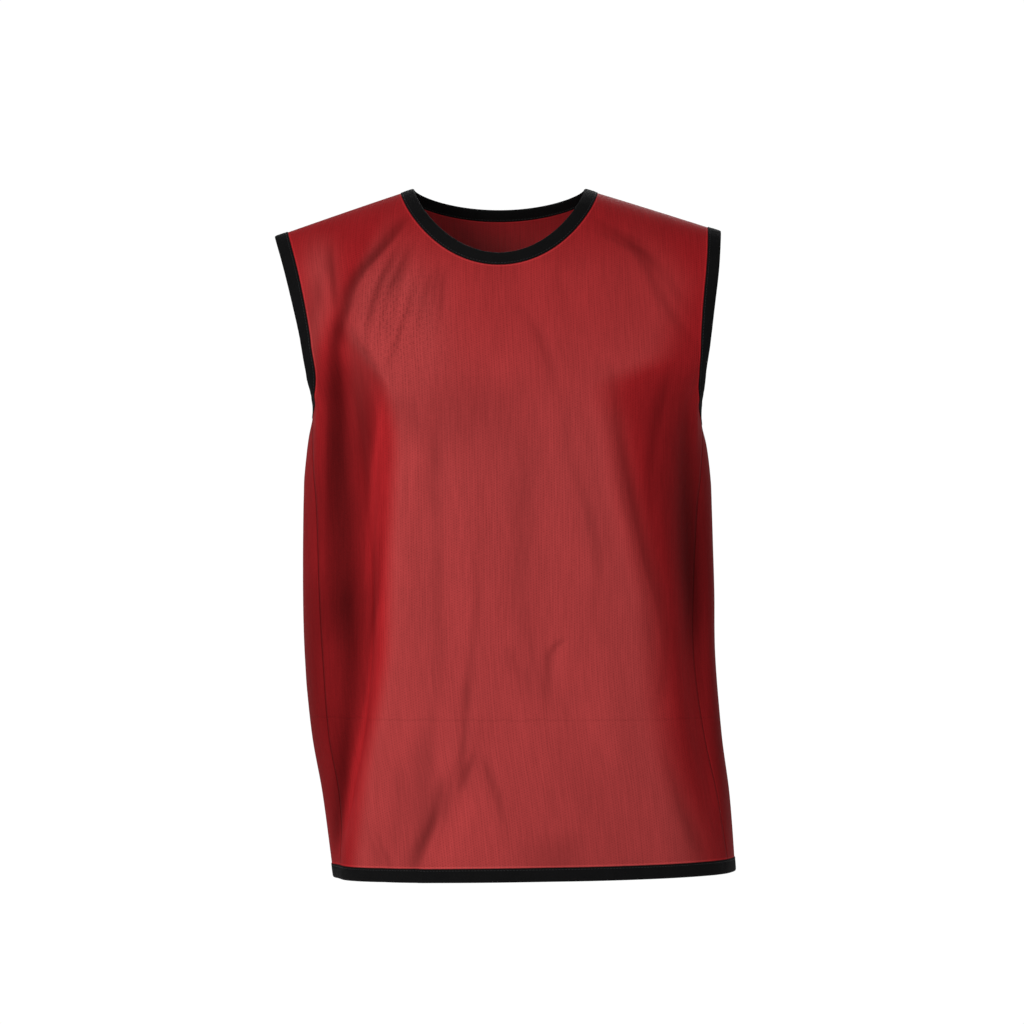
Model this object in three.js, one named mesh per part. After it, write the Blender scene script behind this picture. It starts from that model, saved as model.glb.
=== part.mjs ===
// Sleeveless training bib in sheer mesh, hanging as it is worn: a front and a back panel sewn together at
// the shoulders and sides, with tape folded over the neck, the armholes and the hem.
// Millimetres, +Z up. The wearer looks along -Y, and left and right are those of someone facing the bib.
// The origin is in the middle of the neck opening, level with its two shoulder points.

import * as THREE from 'three';

// Driving sizes
const CLOTH = 1.2; // thickness of a panel
const GAP = 0.3; // free space between sewn pieces
const TAPE_WIDTH = 14; // finished width of a folded tape
const TAPE_LAYER = 1.0; // thickness of one of its two layers
const NECK_HALF = 87.3; // from the centre to a shoulder point
const NECK_DROP_FRONT = 68.5;
const NECK_DROP_BACK = 18;
const HEM_Z = -690.8; // at the centre
const HEM_TILT = 0.016; // rise of the hem for each millimetre to the right
const RISE_FRONT = 230; // height over which the front rounds over from the chest to the shoulder seam
const RISE_BACK = 175;
const ROUND_FRONT = 3.2; // how full the round is at the shoulder: 2 is a quarter of an ellipse
const ROUND_BACK = 2.6;
const SHOULDER_SLOPE = { left: 0.356, right: 0.322 };
const SHOULDER_BEND = 40; // radius of the bend where the two shoulder slopes meet over the neck
const SEAM_AT_UNDERARM = 80; // degrees round from the front centre
const UNDERARM_TURN = 21; // height of the round bottom of an armhole

// Columns and rows of the faceted panels
const SHOULDER_COLUMNS = 8;
const NECK_COLUMNS = 14;
const SIDE_ROWS = 11;
// An armhole's edge on one panel: cells along its round bottom from the side seam, up the turn, then up the side.
const ARMHOLE_CELLS = { front: { bottom: 1, turn: 1, side: 9 }, back: { bottom: 4, turn: 1, side: 9 } };
const TURN_BEARING = { front: 55, back: -50 }; // where the bottom ends, in degrees round from its lowest point

// A table is a list of rows under named columns.
const table = (names, rows) =>
  rows.map((row) => Object.fromEntries(names.split(' ').map((name, i) => [name, row[i]])));

// The hanging cloth, level by level: how far it reaches to each side, to the front and to the back. square
// makes the section fuller than an ellipse as it falls below 1, and seam is where the side seams lie.
const SECTIONS = table('z left right front back square seam', [
  [40, 250, 255, 80, 80, 0.75, 80],
  [-60, 250, 255, 87, 94, 0.75, 80],
  [-100, 247, 252, 98, 102, 0.75, 80],
  [-155, 222, 232, 114, 108, 0.75, 80],
  [-189, 203, 217, 122, 110, 0.76, 80],
  [-221, 193, 209, 126, 110, 0.78, 80],
  [-300, 196, 214, 127, 111, 0.84, 71],
  [-400, 197.5, 217.5, 124, 112, 0.86, 67],
  [-470, 196, 218.5, 122, 113, 0.86, 66],
  [-550, 190, 225, 121, 115, 0.86, 67],
  [-610, 179.5, 232.5, 122, 117, 0.86, 69],
  [-700, 166.5, 238.5, 124, 120, 0.86, 75],
]);

// Half width of the armhole edges above the round bottom.
const ARMHOLE = table('z left right', [
  [-40, 228, 223.2],
  [-80, 215.7, 220],
  [-120, 205.5, 214.8],
  [-160, 197, 209.8],
  [-190, 192.4, 206.3],
  [-206, 190.8, 205.6],
]);
const UNDERARM_Z = { left: -221, right: -228 };

// Large folds. Each is a soft trough that wanders down the cloth: x is its floor at that height, depth is how
// far the floor lies in, or a ridge stands out where it is negative, and its two slopes have widths of their own.
const FOLD_COLUMNS = 'z x depth leftWidth rightWidth';
const FOLDS = [
  {
    name: 'valley from the left of the neck into the left side',
    face: 'front',
    rows: table(FOLD_COLUMNS, [
      [-37, -104, 0, 12, 9],
      [-102, -146, 5, 15, 10],
      [-160, -155, 9, 20, 14],
      [-213, -156, 14, 26, 16],
      [-300, -148, 20, 30, 18],
      [-415, -140, 24, 33, 16],
      [-515, -143, 22, 31, 16],
      [-616, -155, 13, 22, 14],
      [-690, -168, 2, 14, 12],
    ]),
  },
  {
    name: 'valley down the right side',
    face: 'front',
    rows: table(FOLD_COLUMNS, [
      [-190, 192, 0, 20, 9],
      [-260, 198, 8, 24, 9],
      [-400, 203, 12, 28, 10],
      [-500, 205, 10, 26, 10],
      [-620, 215, 4, 22, 10],
      [-690, 224, 0, 20, 10],
    ]),
  },
  {
    name: 'drag fold down the right of the front',
    face: 'front',
    rows: table(FOLD_COLUMNS, [
      [-165, 102, 0, 10, 9],
      [-264, 126, 4.5, 13, 11],
      [-334, 141, 6, 14, 12],
      [-414, 156, 5, 14, 12],
      [-550, 168, 0, 14, 12],
    ]),
  },
  {
    name: 'soft ridge up from the hem',
    face: 'front',
    rows: table(FOLD_COLUMNS, [
      [-520, -18, 0, 12, 14],
      [-575, -42, -4, 14, 16],
      [-640, -66, -4.5, 15, 18],
      [-692, -78, -3, 16, 20],
    ]),
  },
  {
    name: 'fold under the left shoulder blade',
    face: 'back',
    rows: table(FOLD_COLUMNS, [
      [-150, -88, 0, 14, 18],
      [-260, -98, 7, 18, 22],
      [-430, -108, 13, 22, 26],
      [-600, -100, 11, 22, 24],
      [-692, -92, 7, 22, 24],
    ]),
  },
  {
    name: 'fold under the right shoulder blade',
    face: 'back',
    rows: table(FOLD_COLUMNS, [
      [-140, 78, 0, 16, 14],
      [-270, 96, 8, 20, 18],
      [-450, 118, 15, 26, 20],
      [-610, 128, 12, 26, 22],
      [-692, 132, 8, 26, 22],
    ]),
  },
  {
    name: 'shallow fold down the middle of the back',
    face: 'back',
    rows: table(FOLD_COLUMNS, [
      [-210, 4, 0, 16, 16],
      [-380, 8, 6, 20, 18],
      [-560, 22, 8, 22, 20],
      [-692, 28, 5, 22, 20],
    ]),
  },
];

// Small maths
const mix = (a, b, t) => a + (b - a) * t;
const clamp = (value, low, high) => Math.min(high, Math.max(low, value));
const smooth = (value, low, high) => {
  const t = clamp((value - low) / (high - low), 0, 1);
  return t * t * (3 - 2 * t);
};
const radians = THREE.MathUtils.degToRad;
const signedPower = (value, power) => Math.sign(value) * Math.abs(value) ** power;

// Every column of a table at a height, by a smooth curve through its rows.
function rowAt(rows, z) {
  const height = clamp(z, rows.at(-1).z, rows[0].z);
  const i = clamp(rows.findIndex((row) => row.z <= height) - 1, 0, rows.length - 2);
  const [upper, lower] = [rows[i], rows[i + 1]];
  const [above, below] = [rows[i - 1] ?? upper, rows[i + 2] ?? lower];
  const span = lower.z - upper.z;
  const t = (height - upper.z) / span;
  const result = {};
  for (const name of Object.keys(upper)) {
    const startSlope = ((lower[name] - above[name]) / (lower.z - above.z)) * span;
    const endSlope = ((below[name] - upper[name]) / (below.z - upper.z)) * span;
    result[name] =
      (2 * t ** 3 - 3 * t ** 2 + 1) * upper[name] +
      (t ** 3 - 2 * t ** 2 + t) * startSlope +
      (3 * t ** 2 - 2 * t ** 3) * lower[name] +
      (t ** 3 - t ** 2) * endSlope;
  }
  return result;
}

// The line of the shoulders seen from the front, carried on over the neck as a round bend.
function shoulderHeight(x) {
  const slope = mix(SHOULDER_SLOPE.left, SHOULDER_SLOPE.right, smooth(x, -60, 60));
  return slope * (Math.hypot(NECK_HALF, SHOULDER_BEND) - Math.hypot(x, SHOULDER_BEND));
}

// The middle of the cloth before it folds, at an angle round from the front centre and a height.
// face keeps the two panels half a gap apart where they meet on the shoulders.
function smoothCloth(face, angle, z) {
  const section = rowAt(SECTIONS, z);
  const [sine, cosine] = [Math.sin(radians(angle)), Math.cos(radians(angle))];
  const middle = (section.right - section.left) / 2;
  const half = (section.right + section.left) / 2;
  const x = middle + half * signedPower(sine, section.square);
  const inFront = cosine > 0;
  const rise = inFront ? RISE_FRONT : RISE_BACK;
  const drop = clamp((shoulderHeight(x) - z) / rise, 0, 1);
  const fullness = Math.sqrt(1 - (1 - drop) ** (inFront ? ROUND_FRONT : ROUND_BACK));
  const reach = (inFront ? section.front : section.back) * fullness;
  const apart = ((face === 'front' ? -1 : 1) * GAP * (1 - fullness)) / 2;
  return new THREE.Vector3(x, apart - reach * signedPower(cosine, section.square), z);
}

// How far the large folds take the cloth in at a point.
function foldDepth(x, z, cosine) {
  let depth = 0;
  for (const fold of FOLDS) {
    const facing = smooth(fold.face === 'front' ? cosine : -cosine, 0.04, 0.34);
    if (facing === 0 || z > fold.rows[0].z) continue;
    const row = rowAt(fold.rows, z);
    const across = x - row.x;
    depth += facing * row.depth * Math.exp(-((across / (across < 0 ? row.leftWidth : row.rightWidth)) ** 2));
  }
  return depth;
}

// Direction out of a surface, from its neighbours round and up.
function outward(surface, angle, z) {
  const round = surface(angle + 0.3, z).sub(surface(angle - 0.3, z));
  const up = surface(angle, z + 0.5).sub(surface(angle, z - 0.5));
  return round.cross(up).normalize();
}

// The middle of the folded cloth.
function clothPoint(face, angle, z) {
  const base = (a, height) => smoothCloth(face, a, height);
  const point = base(angle, z);
  const depth = foldDepth(point.x, z, Math.cos(radians(angle)));
  return depth === 0 ? point : point.addScaledVector(outward(base, angle, z), -depth);
}

// A point of a panel with its direction out of the cloth. aside moves it along the way round. On the shoulder
// seam the direction has no part along Y, so that the two panels end face to face.
function node(face, { angle, z, aside = 0 }, onShoulderSeam = false) {
  const surface = (a, height) => clothPoint(face, a, height);
  const normal = outward(surface, angle, z);
  if (onShoulderSeam) normal.setY(0).normalize();
  const round = surface(angle + 0.3, z).sub(surface(angle - 0.3, z)).normalize();
  return { point: surface(angle, z).addScaledVector(round, aside), normal };
}

// The place whose x is given, on the front or the back of the section at a height.
function placeAtX(face, x, z) {
  const section = rowAt(SECTIONS, z);
  const share = (x - (section.right - section.left) / 2) / ((section.right + section.left) / 2);
  const angle = THREE.MathUtils.radToDeg(Math.asin(clamp(signedPower(share, 1 / section.square), -1, 1)));
  return { angle: face === 'front' ? angle : 180 - angle, z };
}

// The place a distance into the cloth from one on its edge, square to the edge. towards is the way along
// the edge that keeps the cloth on its left, seen from outside.
function inset(face, place, before, after) {
  const surface = (a, height) => clothPoint(face, a, height);
  const marches = 6;
  let { angle, z } = place;
  const tangent = surface(after.angle, after.z).sub(surface(before.angle, before.z)).normalize();
  for (let march = 0; march < marches; march += 1) {
    const inwards = outward(surface, angle, z).cross(tangent).normalize();
    const round = surface(angle + 0.2, z).sub(surface(angle - 0.2, z)).divideScalar(0.4);
    const up = surface(angle, z + 0.3).sub(surface(angle, z - 0.3)).divideScalar(0.6);
    const [aa, ab, bb] = [round.dot(round), round.dot(up), up.dot(up)];
    const [pa, pb] = [inwards.dot(round), inwards.dot(up)];
    const distance = (TAPE_WIDTH - GAP - TAPE_LAYER) / marches;
    angle += (distance * (pa * bb - pb * ab)) / (aa * bb - ab * ab);
    z += (distance * (pb * aa - pa * ab)) / (aa * bb - ab * ab);
  }
  return { angle, z };
}

// Where a side seam lies, with each panel half a gap aside from it. sign is -1 on the left, 1 on the right.
function sideSeam(face, sign, z, seam = rowAt(SECTIONS, z).seam) {
  const inFront = face === 'front';
  return { angle: inFront || sign > 0 ? sign * seam : 360 - seam, z, aside: ((inFront ? -sign : sign) * GAP) / 2 };
}

// The edge of an armhole on one panel, from the side seam to the shoulder seam: round the bottom, then up.
function armholeEdge(face, sign) {
  const side = sign < 0 ? 'left' : 'right';
  const turnZ = UNDERARM_Z[side] + UNDERARM_TURN;
  const halfWidth = (z) => rowAt(ARMHOLE, z)[side];
  const edgeAngle = (z) => Math.abs(placeAtX('front', sign * halfWidth(z), z).angle);
  const turn = 90 - edgeAngle(turnZ);
  const bottomPlace = (bearing) => ({
    angle: 90 - turn * Math.sin(bearing),
    z: turnZ - UNDERARM_TURN * Math.cos(bearing),
  });
  const seamBearing = Math.asin((90 - SEAM_AT_UNDERARM) / turn);
  const turnBearing = radians(TURN_BEARING[face]);
  const endBearing = face === 'front' ? Math.PI / 2 : -Math.PI / 2;
  let tip = shoulderHeight(halfWidth(turnZ));
  for (let pass = 0; pass < 8; pass += 1) tip = shoulderHeight(sign * halfWidth(tip));

  const cells = ARMHOLE_CELLS[face];
  const edge = [];
  for (let i = 0; i < cells.bottom; i += 1) edge.push(bottomPlace(mix(seamBearing, turnBearing, i / cells.bottom)));
  for (let i = 0; i < cells.turn; i += 1) edge.push(bottomPlace(mix(turnBearing, endBearing, i / cells.turn)));
  for (let i = 0; i <= cells.side; i += 1) {
    const z = tip - (tip - turnZ) * (1 - i / cells.side) ** 1.6;
    edge.push({ angle: face === 'front' ? edgeAngle(z) : 180 - edgeAngle(z), z });
  }
  const turned = ({ angle, z }) => ({ angle: face === 'front' ? -angle : 360 - angle, z });
  const places = sign > 0 ? edge : edge.map(turned);
  places[0] = sideSeam(face, sign, places[0].z, SEAM_AT_UNDERARM);
  return places;
}

// The neck edge from its left shoulder point, at 0, to its right one, at 1.
function neckEdge(face, share) {
  const across = -Math.cos(Math.PI * share);
  const drop = face === 'front' ? NECK_DROP_FRONT : NECK_DROP_BACK;
  const x = NECK_HALF * across;
  return placeAtX(face, x, shoulderHeight(NECK_HALF) - drop * (1 - across ** 2) ** 0.75);
}

const onShoulder = (face, x) => placeAtX(face, x, shoulderHeight(x));

// Fill the space between four sides with rows and columns. Each side is a list of places, bottom and top
// from left to right, and left and right from bottom to top.
function spread(bottom, top, left, right) {
  const share = (list, key, i) => (list[i][key] - list[0][key]) / (list.at(-1)[key] - list[0][key]);
  return left.map((_, i) =>
    bottom.map((__, j) => {
      const [s, t] = [share(bottom, 'angle', j), share(left, 'z', i)];
      const blend = (key) =>
        mix(left[i][key], right[i][key], s) +
        mix(bottom[j][key], top[j][key], t) -
        mix(mix(left[0][key], right[0][key], s), mix(left.at(-1)[key], right.at(-1)[key], s), t);
      const aside = j === 0 ? left[i].aside : j === bottom.length - 1 ? right[i].aside : 0;
      return { angle: blend('angle'), z: blend('z'), aside };
    })
  );
}

// Evenly spaced steps from one value to another, both included.
const steps = (from, to, count) => Array.from({ length: count + 1 }, (_, i) => mix(from, to, i / count));

// A panel as a patchwork of four-sided cells: a lower block up to the armholes and an upper block between
// them, both ending a tape's width in from every taped edge, and strips of cells from there to the edges.
function makePanel(face) {
  const covered = TAPE_WIDTH - GAP - TAPE_LAYER;
  const seamwards = covered / Math.hypot(1, SHOULDER_SLOPE.left);
  // Columns run to the right as seen from outside, so on the back they start at the right side seam.
  const sides = face === 'front' ? [-1, 1] : [1, -1];
  const { bottom: bottomCells } = ARMHOLE_CELLS[face];

  const armholes = sides.map((sign, k) => {
    const edge = armholeEdge(face, sign);
    const inner = edge.map((place, i) => {
      if (i === 0) return sideSeam(face, sign, place.z - covered, SEAM_AT_UNDERARM);
      if (i === edge.length - 1) return onShoulder(face, clothPoint(face, place.angle, place.z).x - sign * seamwards);
      return k === 1 ? inset(face, place, edge[i - 1], edge[i + 1]) : inset(face, place, edge[i + 1], edge[i - 1]);
    });
    return { edge, inner };
  });

  const neckEdgeRow = steps(0, 1, NECK_COLUMNS).map((share) => neckEdge(face, face === 'front' ? share : 1 - share));
  const neckInnerRow = neckEdgeRow.map((place, j) => {
    if (j > 0 && j < NECK_COLUMNS) return inset(face, place, neckEdgeRow[j + 1], neckEdgeRow[j - 1]);
    const { x } = clothPoint(face, place.angle, place.z);
    return onShoulder(face, x + Math.sign(x) * seamwards);
  });

  // The sides of the lower block.
  const hemZ = (angle) => HEM_Z + HEM_TILT * smoothCloth(face, angle, HEM_Z).x;
  const flanks = sides.map((sign, k) => {
    const low = hemZ(sideSeam(face, sign, HEM_Z).angle) + covered;
    return steps(low, armholes[k].inner[0].z, SIDE_ROWS).map((z) => sideSeam(face, sign, z));
  });
  const [start, end] = armholes.map(({ inner }) => inner[bottomCells]);
  const mainColumns = 2 * SHOULDER_COLUMNS + NECK_COLUMNS;
  const waist = steps(0, 1, mainColumns).map((s) => ({
    angle: mix(start.angle, end.angle, s),
    z: mix(start.z, end.z, s),
  }));
  const lowerTop = [
    ...armholes[0].inner.slice(0, bottomCells),
    ...waist,
    ...armholes[1].inner.slice(0, bottomCells).reverse(),
  ];
  const lowerBottom = steps(flanks[0][0].angle, flanks[1][0].angle, lowerTop.length - 1).map((angle, j, all) => {
    const aside = j === 0 ? flanks[0][0].aside : j === all.length - 1 ? flanks[1][0].aside : 0;
    return { angle, z: hemZ(angle) + covered, aside };
  });

  // The sides of the upper block.
  const innerSides = armholes.map(({ inner }) => inner.slice(bottomCells));
  const shoulderRow = (from, to) => {
    const [startX, endX] = [from, to].map(({ angle, z }) => clothPoint(face, angle, z).x);
    return steps(startX, endX, SHOULDER_COLUMNS).map((x) => onShoulder(face, x));
  };
  const upperTop = [
    ...shoulderRow(innerSides[0].at(-1), neckInnerRow[0]).slice(0, -1),
    ...neckInnerRow,
    ...shoulderRow(neckInnerRow.at(-1), innerSides[1].at(-1)).slice(1),
  ];

  // Turn places into points, then join them into cells. A cell is split from its first corner to its third:
  // in a strip, from the inner end of one rib to the outer end of the next, as in the tape over it.
  const nodes = [];
  const add = (place, onSeam = false) => nodes.push(node(face, place, onSeam)) - 1;
  const lower = spread(lowerBottom, lowerTop, flanks[0], flanks[1]).map((row) => row.map((place) => add(place)));
  const upper = spread(waist, upperTop, innerSides[0], innerSides[1]).map((row, i, all) => {
    if (i === 0) return lower.at(-1).slice(bottomCells, bottomCells + mainColumns + 1);
    const onSeam = (j) => i === all.length - 1 && (j <= SHOULDER_COLUMNS || j >= mainColumns - SHOULDER_COLUMNS);
    return row.map((place, j) => add(place, onSeam(j)));
  });
  const cells = [];
  for (const block of [lower, upper]) {
    for (let i = 0; i + 1 < block.length; i += 1) {
      for (let j = 0; j + 1 < block[i].length; j += 1) {
        cells.push([block[i][j], block[i][j + 1], block[i + 1][j + 1], block[i + 1][j]]);
      }
    }
  }
  // A strip from a line of inner nodes to the edge beside it. onRight says that the edge lies to the right of
  // someone who walks along it.
  const strip = (inner, edge, onRight) => {
    for (let i = 0; i + 1 < inner.length; i += 1) {
      if (onRight) cells.push([inner[i], edge[i], edge[i + 1], inner[i + 1]]);
      else cells.push([inner[i], inner[i + 1], edge[i + 1], edge[i]]);
    }
    return inner.map((from, i) => ({ inner: nodes[from], edge: nodes[edge[i]] }));
  };
  const hemRow = lowerBottom.map((place) => add({ ...place, z: place.z - covered }));
  const neckRow = neckEdgeRow.map((place, j) => add(place, j === 0 || j === NECK_COLUMNS));
  const armholeRibs = armholes.map(({ edge }, k) => {
    const edgeRow = edge.map((place, i) => add(place, i === edge.length - 1));
    const upwards = upper.map((row) => row.at(k === 0 ? 0 : -1));
    const along = k === 0 ? lower.at(-1).slice(0, bottomCells) : lower.at(-1).slice(-bottomCells).reverse();
    return strip([...along, ...upwards], edgeRow, k === 1);
  });
  const ribs = {
    hem: strip(lower[0], hemRow, true),
    neck: strip(upper.at(-1).slice(SHOULDER_COLUMNS, SHOULDER_COLUMNS + NECK_COLUMNS + 1), neckRow, false),
    armholes: armholeRibs,
  };
  return { nodes, cells, ribs };
}

// Turn triangles of points into one named, closed mesh with its faces out.
function solid(name, points, triangles, material) {
  let volume = 0;
  for (const [a, b, c] of triangles) {
    volume += points[a].dot(new THREE.Vector3().crossVectors(points[b], points[c]));
  }
  const geometry = new THREE.BufferGeometry();
  geometry.setAttribute('position', new THREE.Float32BufferAttribute(points.flatMap((p) => p.toArray()), 3));
  geometry.setIndex(triangles.flatMap(([a, b, c]) => (volume > 0 ? [a, b, c] : [a, c, b])));
  geometry.computeVertexNormals();
  const mesh = new THREE.Mesh(geometry, material);
  mesh.name = name;
  return mesh;
}

// Give a panel its thickness: an outer and an inner skin, closed by a rim round every free edge.
function panelSolid(name, { nodes, cells }, material) {
  const skin = (side) => nodes.map(({ point, normal }) => point.clone().addScaledVector(normal, (side * CLOTH) / 2));
  const points = [...skin(1), ...skin(-1)];
  const inner = (i) => i + nodes.length;
  const triangles = [];
  const open = new Map();
  for (const cell of cells) {
    const [a, b, c, d] = cell;
    triangles.push([a, b, c], [a, c, d], [inner(a), inner(c), inner(b)], [inner(a), inner(d), inner(c)]);
    cell.forEach((from, k) => {
      const to = cell[(k + 1) % 4];
      if (!open.delete(`${to} ${from}`)) open.set(`${from} ${to}`, [from, to]);
    });
  }
  // Rims split alike on both sides of a seam, so that twisted ones stay parallel.
  for (const [from, to] of open.values()) {
    const rising = nodes[to].point.z > nodes[from].point.z;
    if (rising) triangles.push([to, from, inner(from)], [to, inner(from), inner(to)]);
    else triangles.push([to, from, inner(to)], [from, inner(from), inner(to)]);
  }
  return solid(name, points, triangles, material);
}

// A tape folded over an edge: a channel that follows the cloth's own ribs, a gap away from it all round.
// Cells from turnedFrom on come from ribs in reverse order, so they are split the other way.
function tapeSolid(name, { ribs, turnedFrom }, material) {
  const clear = CLOTH / 2 + GAP;
  const full = clear + TAPE_LAYER;
  const points = [];
  const triangles = [];
  for (const { inner, edge } of ribs) {
    const beyond = edge.point.clone().sub(inner.point).normalize();
    const near = (offset) => inner.point.clone().addScaledVector(inner.normal, offset);
    const far = (out, offset) =>
      edge.point.clone().addScaledVector(beyond, out).addScaledVector(edge.normal, offset);
    points.push(near(full), far(GAP + TAPE_LAYER, full), far(GAP + TAPE_LAYER, -full), near(-full));
    points.push(near(-clear), far(GAP, -clear), far(GAP, clear), near(clear));
  }
  const corners = 8;
  const isFar = (c) => c % 4 === 1 || c % 4 === 2;
  for (let k = 0; k < ribs.length; k += 1) {
    const next = (k + 1) % ribs.length;
    for (let c = 0; c < corners; c += 1) {
      const d = (c + 1) % corners;
      const [a, b] = [k * corners + c, k * corners + d];
      const [e, f] = [next * corners + c, next * corners + d];
      if (isFar(c) === k >= turnedFrom) triangles.push([a, e, f], [a, f, b]);
      else triangles.push([a, e, b], [b, e, f]);
    }
  }
  return solid(name, points, triangles, material);
}

// Join the ribs of two panels into a loop. Where they meet at a seam, one rib lies midway. turned says that
// the other panel's ribs are in reverse order.
function joinRibs(one, other, turned = false) {
  const midway = (p, q) => ({
    point: p.point.clone().lerp(q.point, 0.5),
    normal: p.normal.clone().add(q.normal).normalize(),
  });
  const between = (r, s) => ({ inner: midway(r.inner, s.inner), edge: midway(r.edge, s.edge) });
  const ribs = [
    between(other.at(-1), one[0]),
    ...one.slice(1, -1),
    between(one.at(-1), other[0]),
    ...other.slice(1, -1),
  ];
  return { ribs, turnedFrom: turned ? one.length - 1 : Infinity };
}

const mesh = new THREE.MeshStandardMaterial({ name: 'mesh', color: 0x9e3838, roughness: 0.75, metalness: 0 });
mesh.side = THREE.DoubleSide;
const tape = new THREE.MeshStandardMaterial({ name: 'tape', color: 0x121213, roughness: 0.85, metalness: 0 });

const front = makePanel('front');
const back = makePanel('back');

const bib = new THREE.Group();
bib.name = 'training_bib';
bib.add(panelSolid('front_panel', front, mesh.clone()));
bib.add(panelSolid('back_panel', back, mesh.clone()));
bib.add(tapeSolid('hem_binding', joinRibs(front.ribs.hem, back.ribs.hem), tape.clone()));
bib.add(tapeSolid('neck_binding', joinRibs(front.ribs.neck, back.ribs.neck), tape.clone()));
// The armhole ribs run up to the shoulder on both panels, so the back ones are turned round.
const armholeLoop = (frontSide, backSide) =>
  joinRibs(front.ribs.armholes[frontSide], back.ribs.armholes[backSide].slice().reverse(), true);
bib.add(tapeSolid('armhole_binding_left', armholeLoop(0, 1), tape.clone()));
bib.add(tapeSolid('armhole_binding_right', armholeLoop(1, 0), tape.clone()));

export default bib;
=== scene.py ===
from functools import lru_cache

import bpy
import numpy as np
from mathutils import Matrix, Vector


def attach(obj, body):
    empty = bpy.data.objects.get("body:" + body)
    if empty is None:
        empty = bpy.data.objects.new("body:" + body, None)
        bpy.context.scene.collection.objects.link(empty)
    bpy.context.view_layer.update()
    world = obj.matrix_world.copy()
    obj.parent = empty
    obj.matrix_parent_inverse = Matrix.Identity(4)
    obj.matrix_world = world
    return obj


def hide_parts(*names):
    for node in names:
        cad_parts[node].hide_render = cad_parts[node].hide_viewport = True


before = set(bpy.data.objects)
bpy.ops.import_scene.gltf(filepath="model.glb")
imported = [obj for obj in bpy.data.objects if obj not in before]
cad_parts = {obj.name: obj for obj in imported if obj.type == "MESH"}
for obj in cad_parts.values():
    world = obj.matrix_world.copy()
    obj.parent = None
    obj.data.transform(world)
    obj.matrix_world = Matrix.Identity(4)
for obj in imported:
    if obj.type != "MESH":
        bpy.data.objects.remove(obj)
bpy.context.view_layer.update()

# Sleeveless training bib in sheer mesh: two panels, sewn at the shoulders and sides, with folded tape on
# the neck, the armholes and the hem. The tables below are in millimetres, meshes are made in metres.
# +Z is up, the wearer faces -Y, and left and right are those of someone facing the bib.

bl_info = {
    "name": "Training bib",
    "version": (1, 0, 0),
    "blender": (4, 5, 0),
    "location": "3D View > Sidebar > Training bib",
    "description": "Builds a sheer mesh training bib with taped edges, and the stage it is shown on",
    "category": "Add Mesh",
}

MM = 0.001
BODY = "root"
FRONT, BACK = "front", "back"
LEFT, RIGHT = -1, 1

# The cut and hang of the cloth, as in the solids.
NECK_HALF = 87.3  # from the centre to a shoulder point
NECK_DROP = {FRONT: 68.5, BACK: 18.0}
HEM_Z, HEM_TILT = -690.8, 0.016
RISE = {FRONT: 230.0, BACK: 175.0}  # height over which a panel rounds over to the shoulder seam
ROUND = {FRONT: 3.2, BACK: 2.6}
SHOULDER_SLOPE = {LEFT: 0.356, RIGHT: 0.322}
SHOULDER_BEND = 40.0
SEAM_AT_UNDERARM = 80.0  # degrees round from the front centre
UNDERARM_TURN = 21.0
UNDERARM_Z = {LEFT: -221.0, RIGHT: -228.0}
TURN_BEARING = {FRONT: 55.0, BACK: -50.0}
TAPED = 12.7  # width of cloth inside a tape
SEAM_GAP = 0.04  # between the two panels along a seam

# Quads of the panels: across a shoulder, round the neck, up a side, under a tape, and along an armhole.
SHOULDER_COLUMNS = 40
NECK_COLUMNS = 84
SIDE_ROWS = 150
TAPED_ROWS = 5
ARMHOLE_BOTTOM = {FRONT: 4, BACK: 18}
ARMHOLE_TURN = 6
ARMHOLE_SIDE = 78
SIDE_HOLD = 12

# z, reach to the left, right, front and back, squareness of the section, place of the side seams in degrees
SECTIONS = np.array([
    (40, 250, 255, 80, 80, 0.75, 80),
    (-60, 250, 255, 87, 94, 0.75, 80),
    (-100, 247, 252, 98, 102, 0.75, 80),
    (-155, 222, 232, 114, 108, 0.75, 80),
    (-189, 203, 217, 122, 110, 0.76, 80),
    (-221, 193, 209, 126, 110, 0.78, 80),
    (-300, 196, 214, 127, 111, 0.84, 71),
    (-400, 197.5, 217.5, 124, 112, 0.86, 67),
    (-470, 196, 218.5, 122, 113, 0.86, 66),
    (-550, 190, 225, 121, 115, 0.86, 67),
    (-610, 179.5, 232.5, 122, 117, 0.86, 69),
    (-700, 166.5, 238.5, 124, 120, 0.86, 75),
])

# z, half width to the left and right armhole edges
ARMHOLES = np.array([
    (-40, 228, 223.2),
    (-80, 215.7, 220),
    (-120, 205.5, 214.8),
    (-160, 197, 209.8),
    (-190, 192.4, 206.3),
    (-206, 190.8, 205.6),
])

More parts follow.
